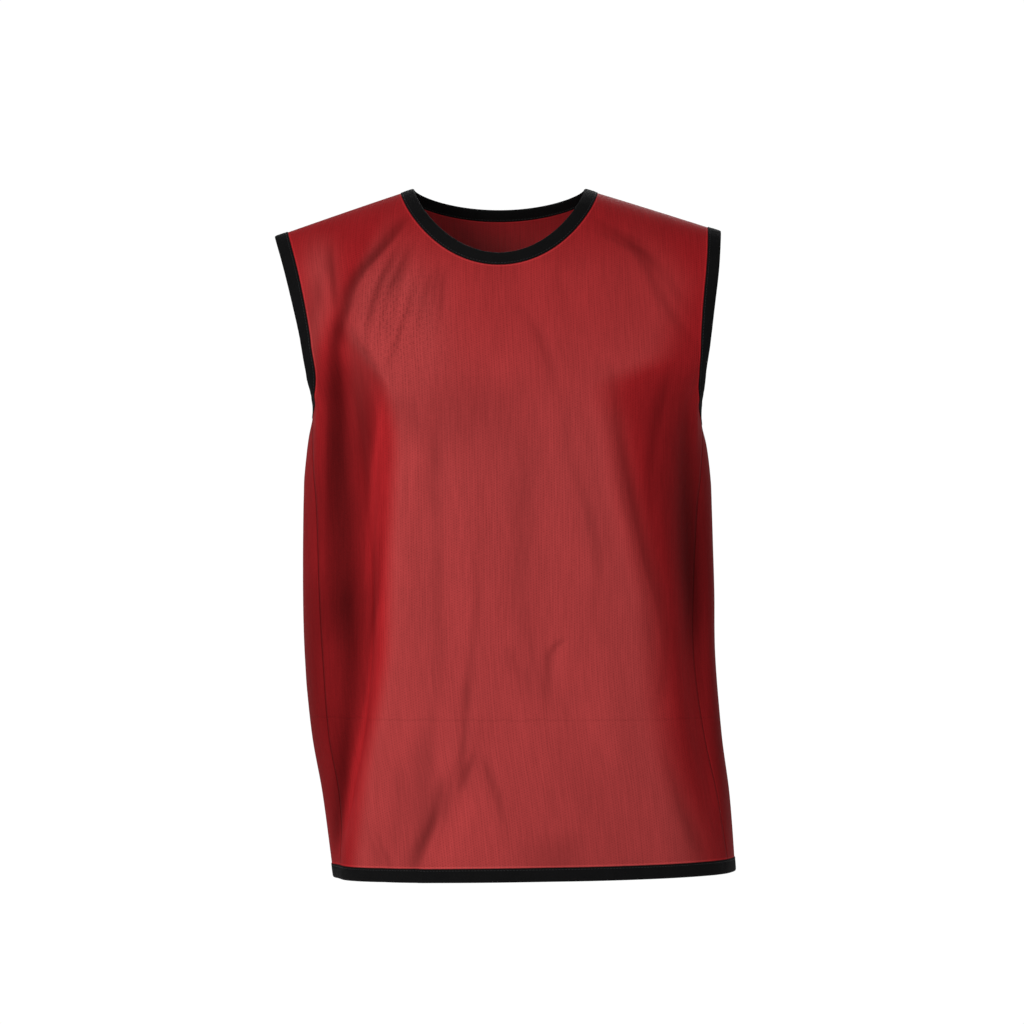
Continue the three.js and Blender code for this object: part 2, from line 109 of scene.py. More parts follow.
# Large folds, as in the solids: z, x of the floor, depth (a ridge is negative), width to its left and right
FOLDS = {
    "valley from the left of the neck into the left side": (FRONT, (
        (-37, -104, 0, 12, 9), (-102, -146, 5, 15, 10), (-160, -155, 9, 20, 14), (-213, -156, 14, 26, 16),
        (-300, -148, 20, 30, 18), (-415, -140, 24, 33, 16), (-515, -143, 22, 31, 16),
        (-616, -155, 13, 22, 14), (-690, -168, 2, 14, 12))),
    "valley down the right side": (FRONT, (
        (-190, 192, 0, 20, 9), (-260, 198, 8, 24, 9), (-400, 203, 12, 28, 10), (-500, 205, 10, 26, 10),
        (-620, 215, 4, 22, 10), (-690, 224, 0, 20, 10))),
    "drag fold down the right of the front": (FRONT, (
        (-165, 102, 0, 10, 9), (-264, 126, 4.5, 13, 11), (-334, 141, 6, 14, 12), (-414, 156, 5, 14, 12),
        (-550, 168, 0, 14, 12))),
    "soft ridge up from the hem": (FRONT, (
        (-520, -18, 0, 12, 14), (-575, -42, -4, 14, 16), (-640, -66, -4.5, 15, 18), (-692, -78, -3, 16, 20))),
    "fold under the left shoulder blade": (BACK, (
        (-150, -88, 0, 14, 18), (-260, -98, 7, 18, 22), (-430, -108, 13, 22, 26), (-600, -100, 11, 22, 24),
        (-692, -92, 7, 22, 24))),
    "fold under the right shoulder blade": (BACK, (
        (-140, 78, 0, 16, 14), (-270, 96, 8, 20, 18), (-450, 118, 15, 26, 20), (-610, 128, 12, 26, 22),
        (-692, 132, 8, 26, 22))),
    "shallow fold down the middle of the back": (BACK, (
        (-210, 4, 0, 16, 16), (-380, 8, 6, 20, 18), (-560, 22, 8, 22, 20), (-692, 28, 5, 22, 20))),
}

# Creases finer than the solids have, in the same columns; all are cut deeper by one share. Each also takes painted
# shade along its floor, and painted highlight along a ridge.
CREASE_DEPTH = 1.5
CREASES = {
    "crinkle off the neck, outermost": (FRONT, (
        (-51, -95, 0, 4, 5), (-73, -106, 2.04, 4, 5), (-96, -117, 3.06, 4, 5), (-122, -125, 2.38, 4, 5),
        (-146, -131, 1.36, 4, 5), (-188, -134, 0, 4, 5))),
    "soft pleat off the neck": (FRONT, (
        (-51, -85, 0, 5, 5), (-75, -94, 2.72, 5, 5), (-92, -102, 3.4, 5, 5), (-108, -109, 2.38, 5, 5),
        (-134, -114, 1.02, 5, 5), (-156, -116, 0, 5, 5))),
    "crinkle off the neck, long": (FRONT, (
        (-79, -75, 0, 3, 3), (-116, -87, 1.62, 3, 3), (-140, -95, 1.8, 3, 3), (-166, -104, 1.44, 3, 3),
        (-193, -113, 0, 3, 3))),
    "crinkle off the neck, fourth": (FRONT, (
        (-79, -66, 0, 3, 3), (-97, -70, 1.62, 3, 3), (-116, -74, 1.62, 3, 3), (-138, -78, 0.9, 3, 3),
        (-161, -82, 0, 3, 3))),
    "crinkle off the neck, fifth": (FRONT, (
        (-74, -58, 0, 3, 3), (-92, -62, 1.62, 3, 3), (-108, -64, 1.44, 3, 3), (-131, -68, 0.72, 3, 3),
        (-156, -72, 0, 3, 3))),
    "crinkle off the neck, innermost": (FRONT, (
        (-74, -51, 0, 3, 3), (-92, -54, 1.8, 3, 3), (-110, -56, 1.62, 3, 3), (-134, -58, 0.54, 3, 3),
        (-151, -60, 0, 3, 3))),
    "crinkle between the pleats": (FRONT, (
        (-79, -92, 0, 3, 3), (-97, -98, 1.44, 3, 3), (-116, -102, 1.44, 3, 3), (-136, -106, 0.72, 3, 3),
        (-156, -110, 0, 3, 3))),
    "edge of the slack under the left shoulder": (FRONT, (
        (-134, -153, 0, 15, 4), (-150, -145, 1.6, 15, 4), (-168, -133, 2.4, 15, 4), (-191, -120, 2.2, 15, 4),
        (-213, -113, 1.2, 15, 4), (-240, -110, 0, 15, 4))),
    "lip of the left valley": (FRONT, (
        (-190, -124, 0, 5, 12), (-235, -117, -1.4, 5, 14), (-294, -114, -2.4, 6, 16), (-373, -122, -2.8, 6, 17),
        (-453, -127, -2.8, 6, 17), (-540, -136, -2.4, 6, 15), (-620, -150, -1.8, 5, 12), (-676, -161, 0, 5, 10))),
    "short crease inside the left armhole": (FRONT, (
        (-57, -171, 0, 5, 4), (-79, -168, 1.5, 5, 4), (-101, -164, 1.2, 5, 4), (-126, -161, 0, 5, 4))),
    "second crease inside the left armhole": (FRONT, (
        (-79, -182, 0, 5, 4), (-101, -178, 1.3, 5, 4), (-126, -174, 1.0, 5, 4), (-161, -172, 0, 5, 4))),
    "sweep off the right of the neck": (FRONT, (
        (-37, 95, 0, 8, 7), (-53, 120, 1.3, 8, 7), (-67, 143, 1.9, 8, 7), (-89, 155, 1.6, 8, 7),
        (-116, 167, 1.2, 8, 7), (-141, 183, 0.8, 8, 7), (-166, 199, 0, 8, 7))),
    "crease down the breast": (FRONT, (
        (-116, 21, 0, 5, 5), (-134, 31, 0.81, 5, 5), (-152, 41, 1.26, 5, 5), (-176, 50, 1.17, 5, 5),
        (-193, 54, 0.63, 5, 5), (-213, 58, 0, 5, 5))),
    "small crease under the neck": (FRONT, (
        (-79, 58, 0, 4, 4), (-97, 60, 0.7, 4, 4), (-116, 66, 0.6, 4, 4), (-136, 70, 0, 4, 4))),
    "partner of the drag fold": (FRONT, (
        (-174, 175, 0, 7, 6), (-205, 167, 0.8, 7, 6), (-241, 157, 1.0, 7, 6), (-284, 151, 0.9, 7, 6),
        (-334, 151, 0.7, 7, 6), (-373, 155, 0, 7, 6))),
    "crease up from the hem, deep": (FRONT, (
        (-583, -58, 0, 9, 4), (-606, -57, 1.6, 9, 4), (-626, -61, 2.7, 9, 4), (-648, -70, 3.1, 9, 4),
        (-668, -78, 2.2, 9, 4), (-684, -83, 1, 9, 4))),
    "crease beside it": (FRONT, (
        (-569, -43, 0, 4, 4), (-596, -48, 1.2, 4, 4), (-623, -52, 1.3, 4, 4), (-646, -56, 0, 4, 4))),
    "long soft crease above them": (FRONT, (
        (-453, -25, 0, 5, 4), (-492, -29, 0.7, 5, 4), (-522, -32, 1.1, 5, 4), (-556, -34, 1.4, 5, 4),
        (-586, -35, 1.5, 5, 4), (-606, -38, 0, 5, 4))),
    "nick at its foot": (FRONT, (
        (-563, -26, 0, 3, 3), (-578, -30, 1.6, 3, 3), (-595, -35, 0.9, 3, 3), (-608, -39, 0, 3, 3))),
    "crease to its right": (FRONT, (
        (-567, -16, 0, 4, 4), (-586, -10, 0.9, 4, 4), (-611, -3, 0.8, 4, 4), (-637, 3, 0, 4, 4))),
    "hooked crease": (FRONT, (
        (-450, 66, 0, 4, 5), (-456, 58, 0.9, 4, 5), (-464, 52, 1.4, 4, 5), (-480, 49, 1.5, 4, 5),
        (-508, 48, 1.0, 4, 5), (-534, 50, 0, 4, 5))),
    "slack beside the hook": (FRONT, (
        (-453, 13, 0, 8, 8), (-472, 15, 0.9, 8, 8), (-490, 23, 0.9, 8, 8), (-517, 29, 0, 8, 8))),
    "low band on the left": (FRONT, (
        (-369, -74, 0, 9, 8), (-433, -77, 0.5, 9, 8), (-512, -79, 0.5, 9, 8), (-573, -81, 0, 9, 8))),
    "low band in the middle": (FRONT, (
        (-220, 36, 0, 13, 12), (-275, 31, 0.63, 13, 12), (-344, 25, 0.81, 13, 12), (-413, 19, 0.63, 13, 12),
        (-455, 17, 0, 13, 12))),
    "band under the left breast": (FRONT, (
        (-200, -58, 0, 12, 10), (-245, -60, 0.56, 12, 10), (-294, -61, 0.52, 12, 10), (-359, -62, 0, 12, 10))),
    "crease into the right hem": (FRONT, (
        (-559, 167, 0, 8, 6), (-601, 179, 1.2, 8, 6), (-634, 191, 1.6, 8, 6), (-660, 201, 1.2, 8, 6),
        (-680, 207, 0.6, 8, 6))),
    "gather at the left hem": (FRONT, (
        (-629, -137, 0, 5, 4), (-650, -129, 1.0, 5, 4), (-668, -121, 1.2, 5, 4), (-682, -114, 0.5, 5, 4))),
    "slack over the hem": (FRONT, (
        (-639, 66, 0, 24, 22), (-658, 62, 1.0, 24, 22), (-678, 57, 0.8, 24, 22))),
    "pleat off the left of the back neck": (BACK, (
        (-18, -84, 0, 5, 6), (-44, -98, 1.4, 5, 6), (-78, -112, 2.0, 6, 7), (-118, -122, 1.2, 6, 7),
        (-168, -128, 0, 6, 7))),
    "pleat off the right of the back neck": (BACK, (
        (-16, 86, 0, 6, 5), (-50, 102, 1.2, 6, 5), (-92, 116, 1.7, 7, 6), (-140, 124, 0.9, 7, 6),
        (-186, 129, 0, 7, 6))),
    "crinkle between them": (BACK, (
        (-44, -36, 0, 4, 4), (-74, -40, 0.8, 4, 4), (-112, -46, 0.9, 4, 4), (-160, -50, 0, 4, 4))),
    "crinkle at the middle of the yoke": (BACK, (
        (-50, 22, 0, 4, 5), (-86, 26, 0.9, 4, 5), (-130, 34, 1.0, 4, 5), (-188, 38, 0, 4, 5))),
    "slack between the blades": (BACK, (
        (-150, 10, 0, 16, 18), (-196, 2, 1.8, 18, 20), (-250, -8, 1.6, 16, 18), (-310, -14, 0, 16, 18))),
    "crease beside the left fold": (BACK, (
        (-300, -62, 0, 6, 7), (-352, -66, 1.3, 6, 7), (-420, -72, 1.6, 7, 8), (-486, -70, 0, 7, 8))),
    "crease in the right of the back": (BACK, (
        (-330, 66, 0, 6, 6), (-388, 72, 1.4, 7, 6), (-452, 80, 1.5, 7, 6), (-520, 82, 0, 7, 6))),
    "crease up from the back hem": (BACK, (
        (-560, -34, 0, 6, 5), (-600, -40, 1.5, 7, 5), (-642, -50, 2.4, 8, 5), (-680, -58, 1.2, 8, 5))),
    "second crease up from the back hem": (BACK, (
        (-590, 78, 0, 5, 6), (-626, 82, 1.3, 5, 7), (-660, 90, 1.8, 5, 7), (-684, 96, 0.9, 5, 7))),
    "nick over the back hem": (BACK, (
        (-630, 8, 0, 4, 4), (-652, 4, 1.2, 4, 4), (-674, 0, 1.0, 4, 4), (-686, -2, 0, 4, 4))),
}

# Folds in the parts that wrap round the sides, with painted shade along them and painted highlight along a roll: z,
# place in degrees, depth, width to its front and back in degrees
SIDE_FOLDS = {
    "hollow at the foot of the left armhole": ((-165, 274, 0, 14, 7), (-196, 273, 5, 15, 8), (-219, 272, 8, 16, 9),
                                               (-233, 272, 5, 15, 9), (-252, 272, 1.6, 15, 9), (-290, 273, 0, 13, 8)),
    "roll before the left armhole": ((-188, 291, 0, 3, 4), (-214, 291, -3.2, 3, 5), (-236, 290, -3.6, 4, 5),
                                     (-264, 290, -2, 4, 5), (-310, 290, 0, 4, 5)),
    "hollow at the foot of the right armhole": ((-170, 86, 0, 7, 14), (-202, 87, 5, 8, 15), (-226, 88, 8, 9, 16),
                                                (-240, 88, 5, 9, 15), (-259, 88, 1.6, 9, 15), (-298, 87, 0, 8, 13)),
    "roll before the right armhole": ((-195, 69, 0, 4, 3), (-221, 69, -3.2, 5, 3), (-243, 70, -3.6, 5, 4),
                                      (-272, 70, -2, 5, 4), (-318, 70, 0, 5, 4)),
    "fold under the right arm": ((-236, 98, 0, 5, 6), (-300, 101, 3.2, 6, 7), (-392, 104, 4.2, 7, 8),
                                 (-500, 103, 2.6, 7, 8), (-600, 100, 0, 7, 8)),
    "fold behind the right side": ((-250, 121, 0, 6, 6), (-330, 124, 3.4, 7, 7), (-450, 127, 4.0, 8, 8),
                                   (-580, 126, 2.8, 8, 8), (-690, 124, 1.6, 8, 8)),
    "crease low on the right side": ((-520, 90, 0, 3, 4), (-572, 91, 1.8, 4, 4), (-628, 93, 2.2, 4, 5),
                                     (-686, 94, 1.0, 4, 5)),
    "fold under the left arm": ((-230, 262, 0, 6, 5), (-296, 260, 3.0, 7, 6), (-370, 257, 3.8, 8, 7),
                                (-470, 258, 2.2, 8, 7), (-560, 261, 0, 8, 7)),
    "fold behind the left side": ((-244, 238, 0, 6, 6), (-340, 235, 3.6, 7, 7), (-470, 232, 4.2, 8, 8),
                                  (-600, 234, 2.6, 8, 8), (-690, 236, 1.4, 8, 8)),
    "crease low on the left side": ((-500, 272, 0, 4, 3), (-560, 271, 1.8, 4, 4), (-630, 268, 2.0, 5, 4),
                                    (-686, 266, 0.8, 5, 4)),
}

# Painted light where the cloth lies close to the body: paler red, as a lit body behind the sheer cloth shows through
# it, on the front and the back: z, left and right limit
PAINTED_LIGHT_SIDES = {
    FRONT: ((-30, -118, 150), (-90, -143, 185), (-120, -152, 182), (-146, -152, 172), (-173, -134, 158),
            (-200, -115, 112), (-241, -104, 116), (-294, -104, 124), (-366, -108, 140), (-417, -109, 152),
            (-468, -111, 156), (-510, -117, 158), (-559, -127, 166), (-595, -133, 176), (-647, -140, 196),
            (-690, -145, 206)),
    BACK: ((-30, -120, 120), (-130, -140, 140), (-260, -120, 128), (-430, -128, 140), (-560, -132, 146),
           (-690, -140, 160)),
}

# Painted highlight where cloth off the body reads paler too: z, x, strength, width to its left and right
PAINTED_LIGHT_PATCHES = {
    "strip inside the left armhole": (FRONT, (
        (-40, -180, 0, 16, 16), (-77, -180, 0.8, 18, 18), (-116, -179, 0.75, 18, 18), (-140, -184, 0.8, 12, 13),
        (-165, -188, 0.8, 10, 9), (-195, -190, 0.6, 8, 7), (-225, -190, 0.2, 7, 7), (-250, -190, 0, 6, 6))),
    "slack under the left breast": (FRONT, (
        (-140, -148, 0, 6, 10), (-165, -144, 0.4, 8, 16), (-195, -138, 0.36, 10, 18), (-235, -138, 0.14, 12, 14),
        (-290, -138, 0, 12, 12))),
}

# Painted shade where the cloth lies deep or doubled and reads darker, and painted highlight where it is taut and reads
# lighter (negative): z, x, strength, width to its left and right
SHADES = {
    "sweep off the neck into the left valley": (FRONT, (
        (-26, -90, 0, 8, 5), (-40, -99, 0.42, 11, 5), (-56, -111, 0.62, 11, 5), (-71, -124, 0.74, 10, 5),
        (-88, -138, 0.74, 10, 5), (-105, -147, 0.7, 9, 5), (-121, -151, 0.66, 8, 5), (-143, -159, 0.68, 9, 6),
        (-166, -163, 0.72, 10, 7), (-190, -163, 0.84, 14, 9), (-215, -163, 0.95, 17, 12), (-285, -161, 1.0, 20, 14),
        (-330, -159, 0.92, 22, 17), (-373, -157, 0.86, 22, 16), (-417, -156, 0.88, 23, 15), (-442, -155, 0.78, 23, 14),
        (-472, -154, 0.62, 22, 13), (-530, -157, 0.56, 18, 12), (-589, -158, 0.48, 12, 9),
        (-645, -160, 0.26, 8, 6), (-675, -161, 0, 5, 5))),
    "slack beside the left valley": (FRONT, (
        (-165, -150, 0, 10, 6), (-190, -140, 0.36, 20, 9), (-215, -133, 0.5, 20, 10), (-238, -130, 0.58, 20, 8),
        (-275, -133, 0.54, 16, 8), (-314, -134, 0.42, 13, 8), (-345, -132, 0.36, 15, 7), (-373, -128, 0.38, 19, 6),
        (-417, -127, 0.48, 26, 5), (-468, -131, 0.5, 22, 4.5), (-510, -137, 0.5, 18, 4.5), (-559, -146, 0.48, 15, 4),
        (-595, -152, 0.44, 12, 4), (-647, -160, 0.3, 8, 4), (-675, -166, 0, 5, 4))),
    "taut line over the slack": (FRONT, (
        (-195, -112, 0, 3, 4), (-235, -117, -0.22, 3, 4), (-275, -123, -0.3, 3, 4), (-314, -126, -0.34, 4, 4),
        (-373, -130, -0.26, 4, 4), (-410, -133, 0, 4, 4))),
    "taut edge of the left valley": (FRONT, (
        (-225, -92, 0, 5, 8), (-260, -98, -0.08, 5, 8), (-329, -105, -0.1, 5, 9), (-417, -113, -0.12, 6, 10),
        (-468, -118, -0.12, 6, 11), (-510, -124, -0.12, 6, 12), (-559, -133, -0.08, 7, 12),
        (-595, -140, -0.06, 7, 12), (-680, -156, 0, 6, 10))),
    "thin line beside the taut edge": (FRONT, (
        (-300, -115, 0, 4, 4), (-340, -117, 0.2, 4, 4), (-373, -118, 0.36, 4, 3), (-410, -120, 0.34, 4, 3),
        (-433, -124, 0.24, 4, 3), (-470, -128, 0, 4, 3))),
    "outer strip on the left": (FRONT, (
        (-200, -192, 0, 12, 12), (-250, -192, 0.16, 12, 14), (-330, -196, 0.36, 12, 18), (-373, -196, 0.42, 12, 18),
        (-433, -194, 0.58, 12, 20), (-492, -192, 0.68, 12, 20), (-552, -187, 0.62, 12, 20),
        (-611, -180, 0.56, 12, 18), (-680, -168, 0.3, 10, 12))),
    "roll inside the left armhole": (FRONT, (
        (-84, -174, 0, 5, 5), (-105, -174, -0.14, 5, 5), (-140, -172, -0.16, 6, 5), (-190, -173, -0.1, 6, 5),
        (-260, -176, -0.16, 4, 4), (-340, -176, -0.1, 3, 3), (-400, -176, 0, 3, 3))),
    "hollow inside the left armhole": (FRONT, (
        (-88, -184, 0, 8, 5), (-110, -184, 0.26, 8, 5), (-132, -185, 0.3, 8, 5), (-152, -183, 0.2, 8, 5),
        (-185, -182, 0.12, 8, 5), (-215, -184, 0, 8, 5))),
    "second crease inside the left armhole": (FRONT, (
        (-50, -171, 0, 3, 3), (-65, -169, 0.26, 4, 3), (-90, -165, 0.26, 4, 3), (-109, -164, 0.18, 4, 3),
        (-130, -163, 0, 4, 3))),
    "triangle under the left breast": (FRONT, (
        (-205, -98, 0, 10, 12), (-222, -92, 0.16, 12, 12), (-250, -84, 0.12, 12, 12), (-275, -80, 0, 12, 12))),
    "hollow under the breast": (FRONT, (
        (-186, -30, 0, 60, 80), (-212, -30, 0.16, 56, 70), (-240, -26, 0.18, 46, 56), (-290, -10, 0.08, 34, 44),
        (-345, 0, 0, 26, 36))),
    "band under the left breast": (FRONT, (
        (-230, -66, 0, 6, 7), (-262, -64, 0.14, 6, 7), (-330, -62, 0.16, 6, 8), (-420, -61, 0.18, 6, 8),
        (-500, -64, 0.12, 7, 8), (-548, -70, 0.2, 10, 8), (-600, -76, 0.24, 14, 9), (-650, -86, 0.1, 12, 8))),
    "taut streak beside it": (FRONT, (
        (-235, -84, 0, 4, 4), (-262, -84, -0.14, 4, 4), (-305, -86, -0.14, 4, 4), (-350, -88, 0, 4, 4))),
    "band in the middle": (FRONT, (
        (-330, -18, 0, 5, 6), (-380, -21, 0.16, 5, 6), (-430, -23, 0.24, 4, 5), (-470, -27, 0.2, 4, 5),
        (-505, -30, 0.12, 4, 5), (-530, -32, 0, 4, 5))),
    "band right of the middle": (FRONT, (
        (-250, 12, 0, 10, 12), (-320, 20, 0.1, 10, 12), (-420, 24, 0.14, 8, 10), (-470, 32, 0.16, 6, 8),
        (-520, 34, 0, 6, 8))),
    "band off the breast crease": (FRONT, (
        (-199, 60, 0, 5, 6), (-235, 65, 0.16, 5, 6), (-284, 74, 0.16, 5, 7), (-326, 88, 0.2, 5, 6),
        (-360, 96, 0.22, 5, 6), (-400, 96, 0.1, 6, 7), (-450, 98, 0, 6, 7))),
    "hollow under the right breast": (FRONT, (
        (-176, 150, 0, 40, 50), (-196, 146, 0.24, 34, 50), (-222, 144, 0.36, 29, 48), (-261, 148, 0.4, 27, 46),
        (-318, 158, 0.44, 26, 46), (-376, 168, 0.44, 23, 44), (-417, 176, 0.4, 19, 40), (-470, 184, 0.36, 20, 36),
        (-540, 196, 0.32, 26, 36), (-640, 208, 0.3, 32, 36), (-700, 216, 0.26, 32, 36))),
    "edge of the drag fold": (FRONT, (
        (-172, 108, 0, 3, 5), (-190, 111, 0.2, 3, 6), (-222, 115, 0.26, 3, 7), (-261, 120, 0.3, 3, 8),
        (-318, 132, 0.38, 3, 8), (-376, 145, 0.4, 3, 9), (-417, 157, 0.36, 3, 8), (-447, 163, 0.3, 4, 8),
        (-470, 164, 0.28, 4, 7), (-495, 162, 0.22, 4, 7), (-520, 155, 0, 4, 7))),
    "taut band left of the drag fold": (FRONT, (
        (-190, 98, 0, 10, 6), (-230, 101, -0.16, 10, 6), (-290, 110, -0.26, 10, 7), (-340, 121, -0.26, 10, 7),
        (-390, 133, -0.2, 10, 7), (-440, 146, 0, 10, 7))),
    "companion of the drag fold": (FRONT, (
        (-196, 155, 0, 4, 4), (-235, 158, 0.03, 4, 4), (-300, 150, 0.04, 4, 3), (-364, 155, 0.14, 4, 3),
        (-406, 162, 0.1, 4, 3), (-430, 166, 0, 4, 3))),
    "right valley": (FRONT, (
        (-205, 192, 0, 12, 10), (-235, 191, 0.4, 13, 12), (-265, 190, 0.52, 14, 13), (-314, 190, 0.6, 14, 14),
        (-364, 192, 0.66, 14, 14), (-413, 194, 0.64, 13, 12), (-443, 196, 0.52, 12, 10), (-472, 198, 0.3, 10, 9),
        (-512, 202, 0.18, 10, 9), (-560, 206, 0.1, 10, 9), (-610, 210, 0, 10, 9))),
    "outer strip on the right": (FRONT, (
        (-205, 210, 0, 12, 14), (-245, 212, 0.4, 12, 16), (-420, 218, 0.55, 12, 18), (-560, 226, 0.5, 12, 18),
        (-700, 238, 0.24, 12, 16))),
    "sweep off the right of the neck": (FRONT, (
        (-28, 90, 0, 6, 8), (-40, 106, 0.2, 6, 10), (-52, 125, 0.34, 6, 12), (-60, 136, 0.34, 6, 10),
        (-70, 149, 0.26, 6, 8), (-86, 162, 0.2, 6, 8), (-101, 172, 0.18, 6, 7), (-120, 184, 0.1, 6, 7),
        (-140, 194, 0, 6, 7))),
    "edge of the left hollow over the hem": (FRONT, (
        (-560, -50, 0, 6, 3), (-586, -53, 0.1, 7, 3), (-609, -61, 0.22, 10, 3.5), (-636, -69, 0.26, 11, 4),
        (-661, -79, 0.22, 9, 4), (-682, -83, 0.1, 7, 4))),
    "crease above it": (FRONT, (
        (-470, -34, 0, 3, 3), (-500, -33, 0.16, 3, 3), (-526, -33, 0.12, 3, 3), (-548, -35, 0.14, 3, 3),
        (-571, -39, 0.12, 3, 3), (-590, -43, 0, 3, 3))),
    "nick over the hem": (FRONT, (
        (-558, -24, 0, 3, 3), (-571, -26, 0.2, 3, 3), (-589, -30, 0.16, 3, 3), (-606, -34, 0, 3, 3))),
    "crease right of the nick": (FRONT, (
        (-560, -15, 0, 4, 5), (-580, -10, 0.2, 4, 5), (-609, -1, 0.24, 4, 6), (-641, 5, 0.14, 4, 6),
        (-665, 8, 0, 4, 6))),
    "taut cloth between the creases": (FRONT, (
        (-590, -28, 0, 10, 10), (-620, -36, -0.12, 12, 12), (-655, -50, -0.12, 14, 14), (-685, -56, 0, 14, 14))),
    "hollow left of it": (FRONT, (
        (-560, -97, 0, 7, 7), (-590, -98, 0.18, 8, 8), (-640, -102, 0.18, 8, 8), (-675, -106, 0, 8, 8))),
    "hook": (FRONT, (
        (-448, 66, 0, 3, 4), (-454, 60, 0.1, 3, 4), (-462, 53, 0.12, 3, 3), (-476, 49, 0.1, 3, 3),
        (-496, 49, 0.06, 3, 3), (-520, 52, 0, 3, 3))),
    "taut cloth inside the hook": (FRONT, (
        (-452, 68, 0, 6, 7), (-466, 63, -0.14, 6, 7), (-486, 60, -0.12, 6, 7), (-512, 60, 0, 6, 7))),
    "gather at the hem": (FRONT, (
        (-636, -127, 0, 3, 3), (-652, -119, 0.2, 3, 3), (-674, -109, 0.24, 4, 4), (-690, -104, 0.1, 4, 4))),
    "slack over the hem": (FRONT, (
        (-540, 96, 0, 60, 60), (-590, 90, 0.12, 66, 70), (-640, 80, 0.14, 70, 80), (-684, 70, 0.24, 80, 90))),
    "left back fold": (BACK, (
        (-180, -92, 0, 12, 14), (-300, -100, 0.35, 13, 18), (-430, -108, 0.55, 14, 22),
        (-600, -100, 0.45, 14, 20), (-686, -94, 0.2, 14, 18))),
    "taut edge of the left back fold": (BACK, (
        (-240, -76, 0, 7, 10), (-360, -80, -0.16, 7, 10), (-520, -80, -0.18, 7, 10), (-680, -72, 0, 7, 10))),
    "right back fold": (BACK, (
        (-170, 84, 0, 12, 10), (-300, 100, 0.4, 18, 11), (-450, 118, 0.6, 24, 12), (-610, 128, 0.42, 22, 12),
        (-686, 131, 0.2, 18, 12))),
    "taut edge of the right back fold": (BACK, (
        (-230, 112, 0, 7, 9), (-360, 128, -0.16, 7, 9), (-520, 142, -0.16, 7, 9), (-660, 148, 0, 7, 9))),
    "hollow between the blades": (BACK, (
        (-230, 0, 0, 30, 30), (-300, 2, 0.14, 30, 28), (-430, 10, 0.2, 18, 22), (-560, 22, 0.24, 14, 20),
        (-686, 28, 0.14, 14, 18))),
}


def smooth(value, low, high):
    t = np.clip((value - low) / (high - low), 0, 1)
    return t * t * (3 - 2 * t)


def unit(vectors):
    return vectors / np.maximum(np.linalg.norm(vectors, axis=-1, keepdims=True), 1e-12)


def signed_power(value, power):
    return np.sign(value) * np.abs(value) ** power


def at_height(rows, z):
    """Each column of a table at each height, on a smooth curve through its rows."""
    rows = np.asarray(rows, float)
    levels = rows[:, 0]
    rise = np.empty_like(rows)
    rise[1:-1] = (rows[2:] - rows[:-2]) / (levels[2:] - levels[:-2])[:, None]
    rise[0] = (rows[1] - rows[0]) / (levels[1] - levels[0])
    rise[-1] = (rows[-1] - rows[-2]) / (levels[-1] - levels[-2])
    z = np.clip(np.asarray(z, float), levels[-1], levels[0])
    i = np.clip(np.searchsorted(-levels, -z) - 1, 0, len(rows) - 2)
    span = (levels[i + 1] - levels[i])[..., None]
    t = (z - levels[i])[..., None] / span
    return (
        (2 * t**3 - 3 * t**2 + 1) * rows[i]
        + (t**3 - 2 * t**2 + t) * rise[i] * span
        + (3 * t**2 - 2 * t**3) * rows[i + 1]
        + (t**3 - t**2) * rise[i + 1] * span
    )


def shoulder_height(x):
    """The line of the shoulders seen from the front, carried on over the neck as a round bend."""
    slope = SHOULDER_SLOPE[LEFT] + (SHOULDER_SLOPE[RIGHT] - SHOULDER_SLOPE[LEFT]) * smooth(x, -60, 60)
    return slope * (np.hypot(NECK_HALF, SHOULDER_BEND) - np.hypot(x, SHOULDER_BEND))


def smooth_cloth(face, angle, z):
    """The middle of the cloth before it folds, at angles round from the front centre and heights."""
    angle, z = np.broadcast_arrays(np.asarray(angle, float), np.asarray(z, float))
    _, left, right, front, back, square, _ = np.moveaxis(at_height(SECTIONS, z), -1, 0)
    sine, cosine = np.sin(np.radians(angle)), np.cos(np.radians(angle))
    x = (right - left) / 2 + (right + left) / 2 * signed_power(sine, square)
    in_front = cosine > 0
    drop = np.clip((shoulder_height(x) - z) / np.where(in_front, RISE[FRONT], RISE[BACK]), 0, 1)
    fullness = np.sqrt(1 - (1 - drop) ** np.where(in_front, ROUND[FRONT], ROUND[BACK]))
    reach = np.where(in_front, front, back) * fullness
    apart = (-1 if face == FRONT else 1) * SEAM_GAP * (1 - fullness) / 2
    return np.stack([x, apart - reach * signed_power(cosine, square), z], -1)


def trough(rows, across, z, squareness=2):
    """The depth of one fold at places across it, with a slope of its own width on each side."""
    _, middle, depth, before, after = np.moveaxis(at_height(rows, z), -1, 0)
    away = across - middle
    depth = depth * np.exp(-(np.abs(away / np.where(away < 0, before, after)) ** squareness))
    return np.where((z > rows[0][0]) | (z < rows[-1][0] - 30), 0, depth)


def gathered(folds, x, z, cosine, fade=(0.04, 0.34), squareness=2):
    """The sum of the folds that lie on the front and the back."""
    total = np.zeros_like(x)
    for face, rows in folds.values():
        total += smooth(cosine if face == FRONT else -cosine, *fade) * trough(rows, x, z, squareness)
    return total


def slack(angle, z):
    """Low swells in cloth that nothing holds flat, the same from both panels at a seam."""
    a = np.radians(angle)
    swell = (
        0.55 * np.sin(5 * a + 0.9 + 0.0055 * z)
        + 0.45 * np.sin(9 * a + 2.1 - 0.0083 * z)
        + 0.35 * np.sin(14 * a + 4.0 + 0.0117 * z + 0.7 * np.sin(0.019 * z))
        + 0.20 * np.sin(23 * a + 1.3 + 0.8 * np.sin(0.027 * z + 3 * a))
    )
    return swell * smooth(-z, 60, 220)


